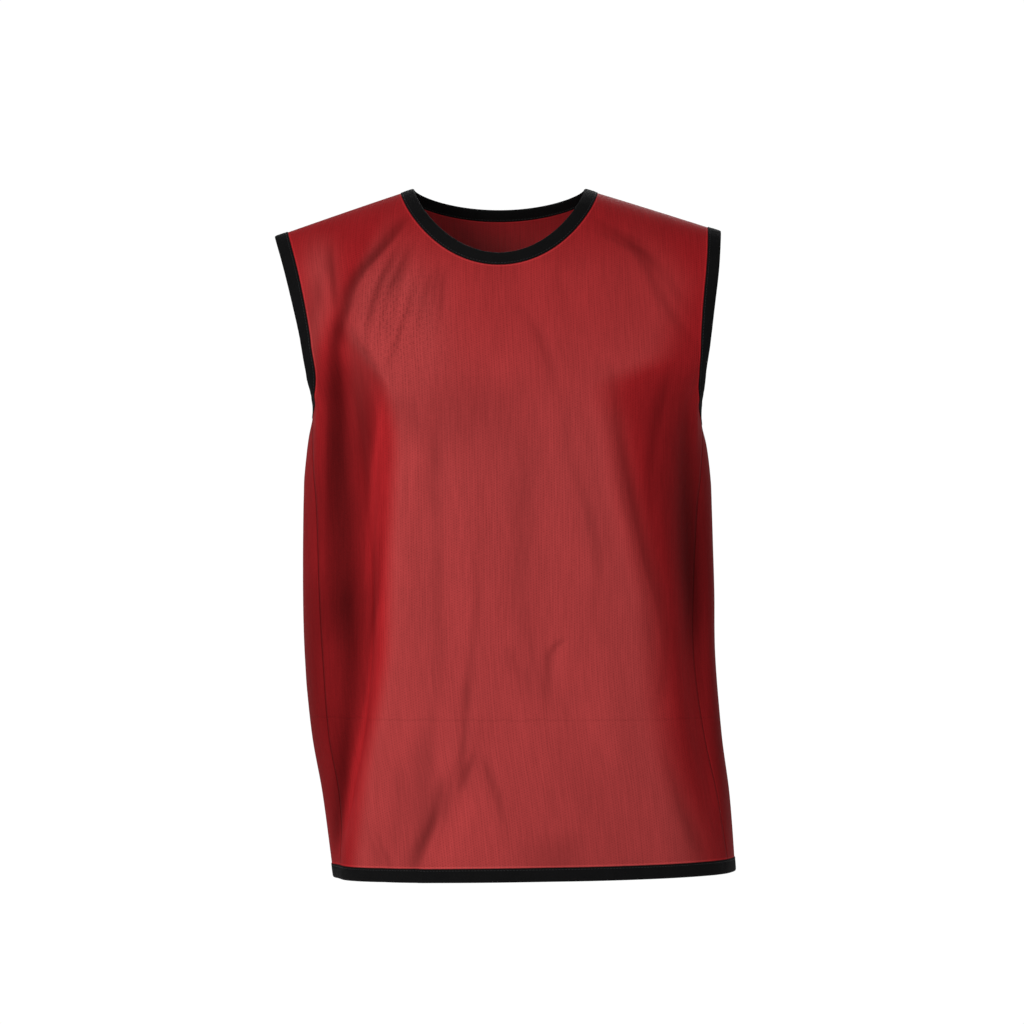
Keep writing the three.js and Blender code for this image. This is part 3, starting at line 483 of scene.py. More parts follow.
def fold_depth(angle, z, fine):
    point = smooth_cloth(FRONT, angle, z)
    cosine = np.cos(np.radians(angle))
    depth = gathered(FOLDS, point[..., 0], z, cosine)
    if fine:
        depth += CREASE_DEPTH * gathered(CREASES, point[..., 0], z, cosine) + slack(angle, z)
        for rows in SIDE_FOLDS.values():
            depth += trough(rows, np.mod(angle, 360), z)
    return depth


def outward(surface, angle, z):
    """Direction out of a surface, from its neighbours round and up."""
    round_ = surface(angle + 0.3, z) - surface(angle - 0.3, z)
    up = surface(angle, z + 0.5) - surface(angle, z - 0.5)
    return unit(np.cross(round_, up))


def cloth(face, angle, z, fine=True):
    """The middle of the folded cloth."""
    angle, z = np.broadcast_arrays(np.asarray(angle, float), np.asarray(z, float))
    base = lambda a, height: smooth_cloth(face, a, height)
    return base(angle, z) - outward(base, angle, z) * fold_depth(angle, z, fine)[..., None]


def place_at_x(face, x, z):
    """The places (degrees, height) whose x is given."""
    x, z = np.broadcast_arrays(np.asarray(x, float), np.asarray(z, float))
    _, left, right, _, _, square, _ = np.moveaxis(at_height(SECTIONS, z), -1, 0)
    share = (x - (right - left) / 2) / ((right + left) / 2)
    angle = np.degrees(np.arcsin(np.clip(signed_power(share, 1 / square), -1, 1)))
    return np.stack([angle if face == FRONT else 180 - angle, z], -1)


def on_shoulder(face, x):
    return place_at_x(face, x, shoulder_height(np.asarray(x, float)))


def side_seam(face, sign, z, seam=None):
    z = np.asarray(z, float)
    seam = at_height(SECTIONS, z)[..., 6] if seam is None else np.full_like(z, seam)
    return np.stack([sign * seam if face == FRONT or sign > 0 else 360 - seam, z], -1)


def inset(face, places, before, after, distance=TAPED, marches=6):
    """Places a distance into the cloth from those on an edge, square to it."""
    surface = lambda a, height: cloth(face, a, height, fine=False)
    angle, z = places[:, 0].copy(), places[:, 1].copy()
    tangent = unit(surface(*after.T) - surface(*before.T))
    for _ in range(marches):
        inwards = unit(np.cross(outward(surface, angle, z), tangent))
        round_ = (surface(angle + 0.2, z) - surface(angle - 0.2, z)) / 0.4
        up = (surface(angle, z + 0.3) - surface(angle, z - 0.3)) / 0.6
        dot = lambda p, q: (p * q).sum(-1)
        aa, ab, bb = dot(round_, round_), dot(round_, up), dot(up, up)
        pa, pb = dot(inwards, round_), dot(inwards, up)
        step = distance / marches / (aa * bb - ab * ab)
        angle += step * (pa * bb - pb * ab)
        z += step * (pb * aa - pa * ab)
    return np.stack([angle, z], -1)


def armhole_edge(face, sign):
    """The edge of an armhole on one panel, from the side seam round the bottom and up to the shoulder."""
    turn_z = UNDERARM_Z[sign] + UNDERARM_TURN
    half_width = lambda z: at_height(ARMHOLES, z)[..., 1 if sign == LEFT else 2]
    edge_angle = lambda z: np.abs(place_at_x(FRONT, sign * half_width(z), z)[..., 0])
    turn = 90 - edge_angle(turn_z)
    seam_bearing = np.arcsin((90 - SEAM_AT_UNDERARM) / turn)
    turn_bearing = np.radians(TURN_BEARING[face])
    end_bearing = np.pi / 2 if face == FRONT else -np.pi / 2
    bearings = np.concatenate([
        np.linspace(seam_bearing, turn_bearing, ARMHOLE_BOTTOM[face] + 1)[:-1],
        np.linspace(turn_bearing, end_bearing, ARMHOLE_TURN + 1)[:-1],
    ])
    bottom = np.stack([90 - turn * np.sin(bearings), turn_z - UNDERARM_TURN * np.cos(bearings)], -1)
    tip = shoulder_height(half_width(turn_z))
    for _ in range(8):
        tip = shoulder_height(sign * half_width(tip))
    z = tip - (tip - turn_z) * (1 - np.arange(ARMHOLE_SIDE + 1) / ARMHOLE_SIDE) ** 1.6
    side = np.stack([edge_angle(z) if face == FRONT else 180 - edge_angle(z), z], -1)
    places = np.vstack([bottom, side])
    if sign == LEFT:
        places[:, 0] = -places[:, 0] if face == FRONT else 360 - places[:, 0]
    places[0] = side_seam(face, sign, places[0, 1], SEAM_AT_UNDERARM)
    return places


def relaxed(places, first, last):
    """A line of places with its corners eased from its start, fading out between two of its places."""
    places = places.copy()
    share = 1 - smooth(np.arange(len(places)), first, last)[1:-1, None]
    for _ in range(24):
        places[1:-1] += share * (places[:-2] - 2 * places[1:-1] + places[2:]) / 4
    return places


def level_with(face, edge, inner):
    """inner with its places as far below the shoulder line as those of the edge, close to the shoulder."""
    x, edge_x = smooth_cloth(face, *inner.T)[:, 0], smooth_cloth(face, *edge.T)[:, 0]
    drop, edge_drop = shoulder_height(x) - inner[:, 1], shoulder_height(edge_x) - edge[:, 1]
    drop += (edge_drop - drop) * (1 - smooth(edge_drop, 0, 14))
    return np.where((edge_drop < 14)[:, None], place_at_x(face, x, shoulder_height(x) - drop), inner)


def neck_edge(face, share):
    across = -np.cos(np.pi * share)
    drop = NECK_DROP[face] * (1 - across**2) ** 0.75
    return place_at_x(face, NECK_HALF * across, -drop)


def spread(bottom, top, left, right, hold=1):
    """Fill the space between four sides with rows and columns of places.

    A higher hold lets the bends of the left and right sides die away closer to them.
    """
    s = ((bottom[:, 0] - bottom[0, 0]) / (bottom[-1, 0] - bottom[0, 0]))[None, :, None]
    t = ((left[:, 1] - left[0, 1]) / (left[-1, 1] - left[0, 1]))[:, None, None]
    mix = lambda a, b, share: a + (b - a) * share
    bent = lambda side: side[:, None] - mix(side[0], side[-1], t)
    return mix(bottom[None], top[None], t) + bent(left) * (1 - s) ** hold + bent(right) * s**hold


@lru_cache(maxsize=None)
def cut_panel(face):
    """A panel's places, its quads, and the strips of places under its tapes, inner row first."""
    seamwards = TAPED / np.hypot(1, SHOULDER_SLOPE[LEFT])
    # Columns run to the right as seen from outside, so on the back they start at the right side seam.
    signs = (LEFT, RIGHT) if face == FRONT else (RIGHT, LEFT)
    bottom = ARMHOLE_BOTTOM[face]
    x_of = lambda place: cloth(face, place[0], place[1], fine=False)[0]

    armholes = []
    turned = bottom + ARMHOLE_TURN
    for k, sign in enumerate(signs):
        edge = relaxed(armhole_edge(face, sign), turned + 6, turned + 20)
        before, after = (edge[:-2], edge[2:]) if k == 1 else (edge[2:], edge[:-2])
        first = side_seam(face, sign, edge[0, 1] - TAPED, SEAM_AT_UNDERARM)
        last = on_shoulder(face, x_of(edge[-1]) - sign * seamwards)
        inner = level_with(face, edge[1:-1], inset(face, edge[1:-1], before, after))
        armholes.append((edge, relaxed(np.vstack([first, inner, last]), turned + 6, turned + 20)))

    neck = neck_edge(face, np.linspace(0, 1, NECK_COLUMNS + 1) if face == FRONT
                     else np.linspace(1, 0, NECK_COLUMNS + 1))
    neck_ends = [on_shoulder(face, x_of(place) + np.sign(x_of(place)) * seamwards) for place in (neck[0], neck[-1])]
    neck_inner = level_with(face, neck[1:-1], inset(face, neck[1:-1], neck[2:], neck[:-2]))
    neck_inner = np.vstack([neck_ends[0], neck_inner, neck_ends[1]])

    hem_z = lambda angle: HEM_Z + HEM_TILT * smooth_cloth(face, angle, HEM_Z)[..., 0]
    flanks = []
    for k, sign in enumerate(signs):
        low = hem_z(side_seam(face, sign, HEM_Z)[0]) + TAPED
        flanks.append(side_seam(face, sign, np.linspace(low, armholes[k][1][0, 1], SIDE_ROWS + 1)))
    main_columns = 2 * SHOULDER_COLUMNS + NECK_COLUMNS
    waist = np.linspace(armholes[0][1][bottom], armholes[1][1][bottom], main_columns + 1)
    lower_top = np.vstack([armholes[0][1][:bottom], waist, armholes[1][1][:bottom][::-1]])
    angles = np.linspace(flanks[0][0, 0], flanks[1][0, 0], len(lower_top))
    lower_bottom = np.stack([angles, hem_z(angles) + TAPED], -1)

    sides = [inner[bottom:] for _, inner in armholes]
    shoulder = lambda start, end: on_shoulder(face, np.linspace(x_of(start), x_of(end), SHOULDER_COLUMNS + 1))
    upper_top = np.vstack([
        shoulder(sides[0][-1], neck_inner[0])[:-1], neck_inner, shoulder(neck_inner[-1], sides[1][-1])[1:],
    ])

    places = []

    def add(rows):
        start = sum(len(block) for block in places)
        places.append(rows.reshape(-1, 2))
        return np.arange(start, start + rows.shape[0] * rows.shape[1]).reshape(rows.shape[:2])

    lower = add(spread(lower_bottom, lower_top, *flanks))
    above = add(spread(waist, upper_top, *sides, hold=SIDE_HOLD)[1:])
    upper = np.vstack([lower[-1:, bottom:bottom + main_columns + 1], above])
    grids = [lower, upper]
    strips = {}

    def strip(name, inner, edge, edge_on_right, seam_ends=()):
        found = np.vstack(places)[inner]
        share = np.linspace(0, 1, TAPED_ROWS + 1)[1:, None, None]
        rows = found + (edge - found) * share
        for end in seam_ends:  # on the shoulder seam, the rows run along the seam itself
            start_x, end_x = x_of(found[end]), x_of(edge[end])
            rows[:, end] = on_shoulder(face, start_x + (end_x - start_x) * share[:, 0, 0])
        grid = np.vstack([inner[None], add(rows)])
        grids.append(grid[::-1] if edge_on_right else grid)
        strips[name] = grid

    strip("hem", lower[0], lower_bottom - (0, TAPED), True)
    strip("neck", upper[-1, SHOULDER_COLUMNS:SHOULDER_COLUMNS + NECK_COLUMNS + 1], neck, False, (0, -1))
    for k, sign in enumerate(signs):
        along = lower[-1, :bottom] if k == 0 else lower[-1, ::-1][:bottom]
        inner = np.concatenate([along, upper[:, 0 if k == 0 else -1]])
        strip(("armhole", sign), inner, armholes[k][0], k == 1, (-1,))

    quads = [np.stack([g[:-1, :-1], g[:-1, 1:], g[1:, 1:], g[1:, :-1]], -1).reshape(-1, 4) for g in grids]
    seams = {"sides": [lower[:, 0], lower[:, -1]],
             "shoulders": [upper[-1, :SHOULDER_COLUMNS + 1], upper[-1, SHOULDER_COLUMNS + NECK_COLUMNS:]]}
    return np.vstack(places), np.vstack(quads), strips, seams


@lru_cache(maxsize=None)
def panel_points(face):
    """Where a panel's places are, and the way out of the cloth there."""
    places = cut_panel(face)[0]
    surface = lambda a, height: cloth(face, a, height)
    return cloth(face, *places.T), outward(surface, *places.T)


def distance_to(points, line, reach=15.0):
    """Distance from each point to a line of points, exact within reach of it."""
    result = np.full(len(points), reach)
    low, high = line.min(0) - reach, line.max(0) + reach
    near = np.nonzero(((points > low) & (points < high)).all(-1))[0]
    for part in np.array_split(near, max(1, len(near) * len(line) // 4_000_000)):
        start, way = line[:-1], line[1:] - line[:-1]
        from_start = points[part][:, None] - start[None]
        share = np.clip((from_start * way).sum(-1) / np.maximum((way * way).sum(-1), 1e-9), 0, 1)
        away = np.linalg.norm(from_start - share[..., None] * way, axis=-1)
        result[part] = np.minimum(result[part], away.min(-1))
    return result


def cloth_lengths(face):
    """Distance along the cloth, round from the centre and up from the hem, on a net of places."""
    middle = 0 if face == FRONT else 180
    angles = np.arange(-93, 94, 1.0) if face == FRONT else np.arange(57, 304, 1.0)
    levels = np.arange(-705, 45, 4.0)
    net = cloth(face, angles[None], levels[:, None])
    across = np.linalg.norm(np.diff(net, axis=1), axis=-1)
    across = np.hstack([np.zeros((len(levels), 1)), np.cumsum(across, 1)])
    across -= across[:, [int(np.argmin(np.abs(angles - middle)))]]
    up = np.linalg.norm(np.diff(net, axis=0), axis=-1)
    up = np.vstack([np.zeros((1, len(angles))), np.cumsum(up, 0)])
    return angles, levels, across, up


def read_net(angles, levels, values, places):
    i = (places[:, 1] - levels[0]) / (levels[1] - levels[0])
    j = (places[:, 0] - angles[0]) / (angles[1] - angles[0])
    i0 = np.clip(i.astype(int), 0, len(levels) - 2)
    j0 = np.clip(j.astype(int), 0, len(angles) - 2)
    s, t = i - i0, j - j0
    return ((1 - s) * (1 - t) * values[i0, j0] + (1 - s) * t * values[i0, j0 + 1]
            + s * (1 - t) * values[i0 + 1, j0] + s * t * values[i0 + 1, j0 + 1])


def mesh_object(name, points, faces, material, uv=None, smooth_faces=True):
    """A mesh at the origin from points in millimetres."""
    mesh = bpy.data.meshes.new(name)
    mesh.from_pydata((np.asarray(points) * MM).tolist(), [], np.asarray(faces).tolist())
    mesh.materials.append(material)
    if uv is not None:
        corners = np.empty(len(mesh.loops), int)
        mesh.loops.foreach_get("vertex_index", corners)
        layer = mesh.uv_layers.new(name="cloth")
        layer.data.foreach_set("uv", (np.asarray(uv)[corners] * MM).astype(np.float32).ravel())
    mesh.polygons.foreach_set("use_smooth", [smooth_faces] * len(mesh.polygons))
    mesh.update()
    made = bpy.data.objects.new(name, mesh)
    bpy.context.scene.collection.objects.link(made)
    return made


def give(mesh, name, values):
    mesh.attributes.new(name, "FLOAT", "POINT").data.foreach_set("value", np.asarray(values, np.float32))


def made_plain(made):
    """Apply an object's modifiers to its mesh."""
    graph = bpy.context.evaluated_depsgraph_get()
    plain = bpy.data.meshes.new_from_object(made.evaluated_get(graph), depsgraph=graph)
    plain.name = made.name
    made.modifiers.clear()
    made.data = plain
    return made


# Materials

class Nodes:
    """Short ways to add nodes to one material or geometry tree."""

    def __init__(self, tree):
        self.tree = tree

    def add(self, kind, values=(), **settings):
        made = self.tree.nodes.new(kind)
        for key, value in settings.items():
            setattr(made, key, value)
        for socket, value in dict(values).items():
            self.set(made.inputs[socket], value)
        return made

    def set(self, socket, value):
        if isinstance(value, bpy.types.NodeSocket):
            self.tree.links.new(value, socket)
        else:
            socket.default_value = value

    def math(self, operation, a, b=None, c=None, clamp=False):
        made = self.tree.nodes.new("ShaderNodeMath")
        made.operation = operation
        made.use_clamp = clamp
        for socket, value in zip(made.inputs, (a, b, c)):
            if value is not None:
                self.set(socket, value)
        return made.outputs[0]

    def blend(self, share, a, b, kind="MIX"):
        made = self.tree.nodes.new("ShaderNodeMix")
        made.data_type, made.blend_type = "RGBA", kind
        for socket, value in zip((made.inputs[0], made.inputs[6], made.inputs[7]), (share, a, b)):
            self.set(socket, value)
        return made.outputs[2]

    def ramp(self, value, low, high, to_low=0.0, to_high=1.0):
        made = self.add("ShaderNodeMapRange", {0: value, 1: low, 2: high, 3: to_low, 4: to_high},
                        interpolation_type="SMOOTHSTEP")
        return made.outputs[0]

    def attribute(self, name):
        return self.add("ShaderNodeAttribute", attribute_name=name).outputs["Fac"]


def new_material(name):
    material = bpy.data.materials.new(name)
    material.use_nodes = True
    material.node_tree.nodes.clear()
    nodes = Nodes(material.node_tree)
    output = nodes.add("ShaderNodeOutputMaterial")
    return material, nodes, output


def mesh_cloth_material(bib):
    """Sheer warp knit: upright wales with small staggered holes, crimped where it is pulled, with painted light and
    painted shade from the mesh's attributes.
    """
    material, nodes, output = new_material("mesh_knit")
    uv = nodes.add("ShaderNodeSeparateXYZ", {0: nodes.add("ShaderNodeUVMap", uv_map="cloth").outputs[0]})
    u, v = uv.outputs[0], uv.outputs[1]
    painted_light, shade = nodes.attribute("painted_light"), nodes.attribute("shade")
    crimp, edge, seam = nodes.attribute("crimp"), nodes.attribute("edge"), nodes.attribute("seam")

    # Wales stand upright; a hole lies between two of them, one course up on every second wale.
    wale = nodes.math("DIVIDE", u, bib.wale_pitch)
    course = nodes.math("DIVIDE", v, bib.course_pitch)
    odd = nodes.math("MODULO", nodes.math("ABSOLUTE", nodes.math("ROUND", wale)), 2.0)
    turn = 2 * np.pi
    across = nodes.math("MULTIPLY_ADD", nodes.math("COSINE", nodes.math("MULTIPLY", wale, turn)), 0.5, 0.5)
    staggered = nodes.math("MULTIPLY_ADD", odd, 0.5, course)
    along = nodes.math("MULTIPLY_ADD", nodes.math("COSINE", nodes.math("MULTIPLY", staggered, turn)), 0.5, 0.5)
    hole = nodes.ramp(nodes.math("MULTIPLY", across, along), 0.35, 0.8)

    # Uneven pull on the wales: long fine streaks, and short crimps in the pulled parts.
    mapping = lambda su, sv: nodes.add("ShaderNodeCombineXYZ", {
        0: nodes.math("MULTIPLY", u, su), 1: nodes.math("MULTIPLY", v, sv)}).outputs[0]
    streak = nodes.add("ShaderNodeTexNoise", {"Vector": mapping(420, 26), "Scale": 1.0, "Detail": 2.0}).outputs[0]
    sway = nodes.add("ShaderNodeTexNoise", {"Vector": mapping(60, 45), "Scale": 1.0, "Detail": 1.0}).outputs[0]
    rows = nodes.math("MULTIPLY_ADD", sway, 5.0, nodes.math("MULTIPLY", u, turn / 0.0034))
    broken = nodes.add("ShaderNodeTexNoise", {"Vector": mapping(300, 260), "Scale": 1.0, "Detail": 1.0}).outputs[0]
    dashes = nodes.math("MULTIPLY", nodes.math("MULTIPLY_ADD", nodes.math("COSINE", rows), 0.5, 0.5),
                        nodes.ramp(broken, 0.38, 0.6))
    grain = nodes.add("ShaderNodeTexNoise", {"Vector": mapping(1000, 520), "Scale": 1.0, "Detail": 1.0}).outputs[0]
    cloud = nodes.add("ShaderNodeTexNoise", {"Vector": mapping(26, 9), "Scale": 1.0, "Detail": 2.0}).outputs[0]

    # Painted light and shade: the red turns paler where light is painted, and darker where shade is painted (lighter
    # where the shade is negative).
    red = nodes.blend(painted_light, tuple(bib.cloth_deep) + (1,), tuple(bib.cloth_painted_light) + (1,))
    value = nodes.math("SUBTRACT", 1.0, nodes.math("MULTIPLY", shade, 0.72))
    value = nodes.math("MULTIPLY", value, nodes.ramp(streak, 0.3, 0.7, 0.94, 1.06))
    value = nodes.math("MULTIPLY", value, nodes.ramp(grain, 0.25, 0.75, 0.955, 1.045))
    value = nodes.math("MULTIPLY", value, nodes.ramp(cloud, 0.3, 0.7, 0.95, 1.04))
    value = nodes.math("MULTIPLY", value, nodes.math("SUBTRACT", 1.0, nodes.math("MULTIPLY", hole, 0.055)))
    dash = nodes.math("MULTIPLY", nodes.ramp(dashes, 0.2, 0.9), nodes.math("MULTIPLY", crimp, 0.27))
    value = nodes.math("MULTIPLY", value, nodes.math("SUBTRACT", 1.0, dash))
    # The cloth was pressed along a level line where it lay folded: a bump, and painted shade along the line.
    height_up = nodes.add("ShaderNodeSeparateXYZ", {0: nodes.add("ShaderNodeTexCoord").outputs["Object"]}).outputs[2]
    pressed_crease_and_shade = nodes.math("ABSOLUTE", nodes.math("MULTIPLY_ADD", sway, 0.004, nodes.math("ADD", height_up, 0.530)))
    pressed_crease_and_shade = nodes.ramp(pressed_crease_and_shade, 0.0002, 0.0016, 1.0, 0.0)
    value = nodes.math("MULTIPLY", value, nodes.math("SUBTRACT", 1.0, nodes.math("MULTIPLY", pressed_crease_and_shade, 0.07)))
    # A seam shows as a thin dark line between two lighter rolls, and beside a tape a thin painted highlight stands for
    # cloth rolled up there.
    line = nodes.ramp(seam, 0.0, 0.0011, 0.45, 0.0)
    value = nodes.math("MULTIPLY", value, nodes.math("SUBTRACT", 1.0, line))
    roll = nodes.math("MULTIPLY", nodes.ramp(edge, 0.0003, 0.0009), nodes.ramp(edge, 0.0012, 0.0022, 1.0, 0.0))
    value = nodes.math("MULTIPLY_ADD", roll, 0.45, value)
    colour = nodes.add("ShaderNodeHueSaturation", {"Value": value, "Color": red}).outputs[0]

    # The holes show less through where shade is painted.
    clear = nodes.math("MULTIPLY", nodes.ramp(shade, 0.0, 0.5, 1.0, 0.1), bib.openness)

    height = nodes.math("MULTIPLY", hole, -0.35)
    height = nodes.math("MULTIPLY_ADD", nodes.math("MULTIPLY", dashes, crimp), -0.8, height)
    height = nodes.math("MULTIPLY_ADD", streak, 0.8, height)
    height = nodes.math("MULTIPLY_ADD", nodes.ramp(seam, 0.0, 0.0014), 2.2, height)
    height = nodes.math("MULTIPLY_ADD", pressed_crease_and_shade, -1.2, height)
    bump = nodes.add("ShaderNodeBump", {"Strength": 0.55, "Distance": 0.00022, "Height": height}).outputs[0]
    shader = nodes.add("ShaderNodeBsdfPrincipled", {
        "Base Color": colour, "Roughness": 0.55, "Specular IOR Level": 0.025, "Sheen Weight": 0.04,
        "Specular Tint": (1.0, 0.55, 0.55, 1.0), "Sheen Roughness": 0.4, "Sheen Tint": (1.0, 0.12, 0.12, 1.0),
        "Normal": bump,
        "Alpha": nodes.math("SUBTRACT", 1.0, nodes.math("MULTIPLY", hole, clear)),
    })
    nodes.set(output.inputs[0], shader.outputs[0])
    return material


def tape_material(bib):
    """Black knitted tape, ribbed along its length."""
    material, nodes, output = new_material("tape_knit")
    uv = nodes.add("ShaderNodeSeparateXYZ", {0: nodes.add("ShaderNodeUVMap", uv_map="cloth").outputs[0]})
    across, along = uv.outputs[0], uv.outputs[1]
    turn = 2 * np.pi
    rib = nodes.math("SINE", nodes.math("MULTIPLY", across, turn / 0.00115))
    slant = nodes.math("MULTIPLY_ADD", nodes.math("ABSOLUTE", rib), 0.9, nodes.math("MULTIPLY", along, turn / 0.0009))
    loop = nodes.math("MULTIPLY_ADD", nodes.math("SINE", slant), 0.5, 0.5)
    place = nodes.add("ShaderNodeTexCoord").outputs["Object"]
    fuzz = nodes.add("ShaderNodeTexNoise", {"Vector": place, "Scale": 900.0, "Detail": 2.0}).outputs[0]
    wear = nodes.add("ShaderNodeTexNoise", {"Vector": place, "Scale": 60.0, "Detail": 3.0}).outputs[0]
    value = nodes.math("MULTIPLY", nodes.ramp(loop, 0.0, 1.0, 0.8, 1.2), nodes.ramp(fuzz, 0.3, 0.7, 0.8, 1.25))
    value = nodes.math("MULTIPLY", value, nodes.ramp(wear, 0.35, 0.7, 0.92, 1.12))
    colour = nodes.add("ShaderNodeHueSaturation", {"Value": value, "Color": tuple(bib.tape_colour) + (1,)})
    height = nodes.math("ADD", nodes.math("MULTIPLY", loop, 0.6), nodes.math("ABSOLUTE", rib))
    height = nodes.math("MULTIPLY_ADD", fuzz, 0.5, height)
    bump = nodes.add("ShaderNodeBump", {"Strength": 0.5, "Distance": 0.00025, "Height": height}).outputs[0]
    shader = nodes.add("ShaderNodeBsdfPrincipled", {
        "Base Color": colour.outputs[0], "Roughness": 0.75, "Specular IOR Level": 0.06, "Normal": bump,
    })
    nodes.set(output.inputs[0], shader.outputs[0])
    return material


def thread_material(bib):
    """Black sewing thread with a slight twist."""
    material, nodes, output = new_material("thread")
    place = nodes.add("ShaderNodeTexCoord").outputs["Object"]
    twist = nodes.add("ShaderNodeTexNoise", {"Vector": place, "Scale": 2600.0, "Detail": 1.0}).outputs[0]
    value = nodes.ramp(twist, 0.3, 0.7, 0.75, 1.3)
    colour = nodes.add("ShaderNodeHueSaturation", {"Value": value, "Color": tuple(bib.thread_colour) + (1,)})
    bump = nodes.add("ShaderNodeBump", {"Strength": 0.4, "Distance": 0.0001, "Height": twist}).outputs[0]
    shader = nodes.add("ShaderNodeBsdfPrincipled", {
        "Base Color": colour.outputs[0], "Roughness": 0.5, "Specular IOR Level": 0.35, "Normal": bump})
    nodes.set(output.inputs[0], shader.outputs[0])
    return material


# Pieces

def panel_tones(face, points, places):
    """How much painted light, painted shade and crimp the cloth has at each point."""
    x, z = points[:, 0], points[:, 2]
    cosine = np.cos(np.radians(places[:, 0]))
    # Painted light: paler red where the cloth lies close to the body, as a lit body behind the sheer cloth shows
    # through; less of it towards the shoulders, with painted highlight patches added.
    _, left, right = at_height(PAINTED_LIGHT_SIDES[face], z).T
    painted_light = smooth(x - left, -9, 9) * smooth(x - right, 24, -24) * (0.45 + 0.55 * smooth(z, -60, -300))
    painted_light *= smooth(z, -10, -100)
    painted_light += gathered(PAINTED_LIGHT_PATCHES, x, z, cosine)
    # Painted shade along the tabled hollows, along every crease and on the tops of the shoulders; negative values are
    # painted highlight.
    creased = np.clip(gathered(CREASES, x, z, cosine), -1, 3)
    shade = gathered(SHADES, x, z, cosine, (-0.15, 0.05), 2.6) + 0.16 * creased + 0.2 * smooth(z, -95, -30)
    # Painted shade along the folds round the sides.
    for rows in SIDE_FOLDS.values():
        shade += 0.07 * trough(rows, np.mod(places[:, 0], 360), z)
    crimp = 0.12 + 0 * x
    if face == FRONT:
        # On the front, the pulled patch on the left of the chest is crimped and gets painted highlight: more painted
        # light, less shade.
        pulled_crimp_and_highlight = np.exp(-(((x + 104 + 0.1 * (z + 130)) / 44) ** 2 + ((z + 132) / 64) ** 2))
        pulled_crimp_and_highlight *= smooth(x - left, -4, 8)
        crimp += 0.88 * pulled_crimp_and_highlight
        painted_light += 0.75 * pulled_crimp_and_highlight
        shade -= 0.14 * pulled_crimp_and_highlight
    return np.clip(painted_light, 0, 1.25), np.clip(shade, -0.45, 1.15), np.clip(crimp, 0, 1)


def make_panel(face, bib, material):
    places, quads, strips, seams = cut_panel(face)
    points, _ = panel_points(face)
    angles, levels, across, up = cloth_lengths(face)
    uv = np.stack([read_net(angles, levels, values, places) for values in (across, up)], -1)
    made = mesh_object(face + "_panel_cloth", points, quads, material, uv)
    # Painted light and painted shade go onto the mesh as attributes, with the crimp.
    painted_light, shade, crimp = panel_tones(face, points, places)
    give(made.data, "painted_light", painted_light)
    give(made.data, "shade", shade)
    give(made.data, "crimp", crimp)
    edge = np.min([distance_to(points, points[grid[0]]) for grid in strips.values()], 0)
    seam = np.min([distance_to(points, points[line]) for lines in seams.values() for line in lines], 0)
    give(made.data, "edge", edge * MM)
    give(made.data, "seam", seam * MM)
    wall = made.modifiers.new("wall", "SOLIDIFY")
    wall.thickness = bib.cloth_thickness
    wall.offset = 0
    wall.use_even_offset = False
    made_plain(made)
    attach(made, BODY)
    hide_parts(face + "_panel")
    return made


def tape_ribs(names):
    """Points and directions of the taped cloth, one column for each rib of a loop of tape.

    names are the strips on the front and the back panel; the loop goes along the first, then along the
    second so that it closes.
    """
    (front_name, back_name) = names
    loops = []
    for face, name in ((FRONT, front_name), (BACK, back_name)):
        points, normals = panel_points(face)
        grid = cut_panel(face)[2][name]
        loops.append((points[grid], normals[grid]))
    (fp, fn), (bp, bn) = loops
    if np.linalg.norm(fp[-1, -1] - bp[-1, 0]) > np.linalg.norm(fp[-1, -1] - bp[-1, -1]):
        bp, bn = bp[:, ::-1], bn[:, ::-1]
    points = np.concatenate([(fp[:, :1] + bp[:, -1:]) / 2, fp[:, 1:-1], (fp[:, -1:] + bp[:, :1]) / 2, bp[:, 1:-1]], 1)
    normals = np.concatenate([fn[:, :1] + bn[:, -1:], fn[:, 1:-1], fn[:, -1:] + bn[:, :1], bn[:, 1:-1]], 1)
    return points, unit(normals)


# Half of a folded tape's outline: distance from its sewn edge, then height over the cloth's middle
TAPE_OUTLINE = ((0.0, 0.42), (0.0, 0.78), (0.35, 0.98), (1.2, 1.02), (2.0, 0.84), (2.8, 1.04), (4.4, 1.16),
                (6.8, 1.18), (9.2, 1.2), (11.4, 1.18), (12.7, 1.0), (13.55, 0.6), (14.0, 0.0))
TAPE_LINING = ((12.9, 0.0), (12.7, 0.34), (9.0, 0.34), (5.0, 0.34), (2.0, 0.34))


def rib_at(points, normals, along, height):
    """Points at a distance from the sewn edge of a tape, and a height over the cloth."""
    row = np.clip(along / TAPED, 0, 1) * (len(points) - 1)
    i = min(int(row), len(points) - 2)
    t = row - i
    point = points[i] * (1 - t) + points[i + 1] * t
    normal = unit(normals[i] * (1 - t) + normals[i + 1] * t)
    past = max(0.0, along - TAPED)
    beyond = unit(points[-1] - points[-2])
    return point + beyond * past + normal * np.asarray(height)[..., None]


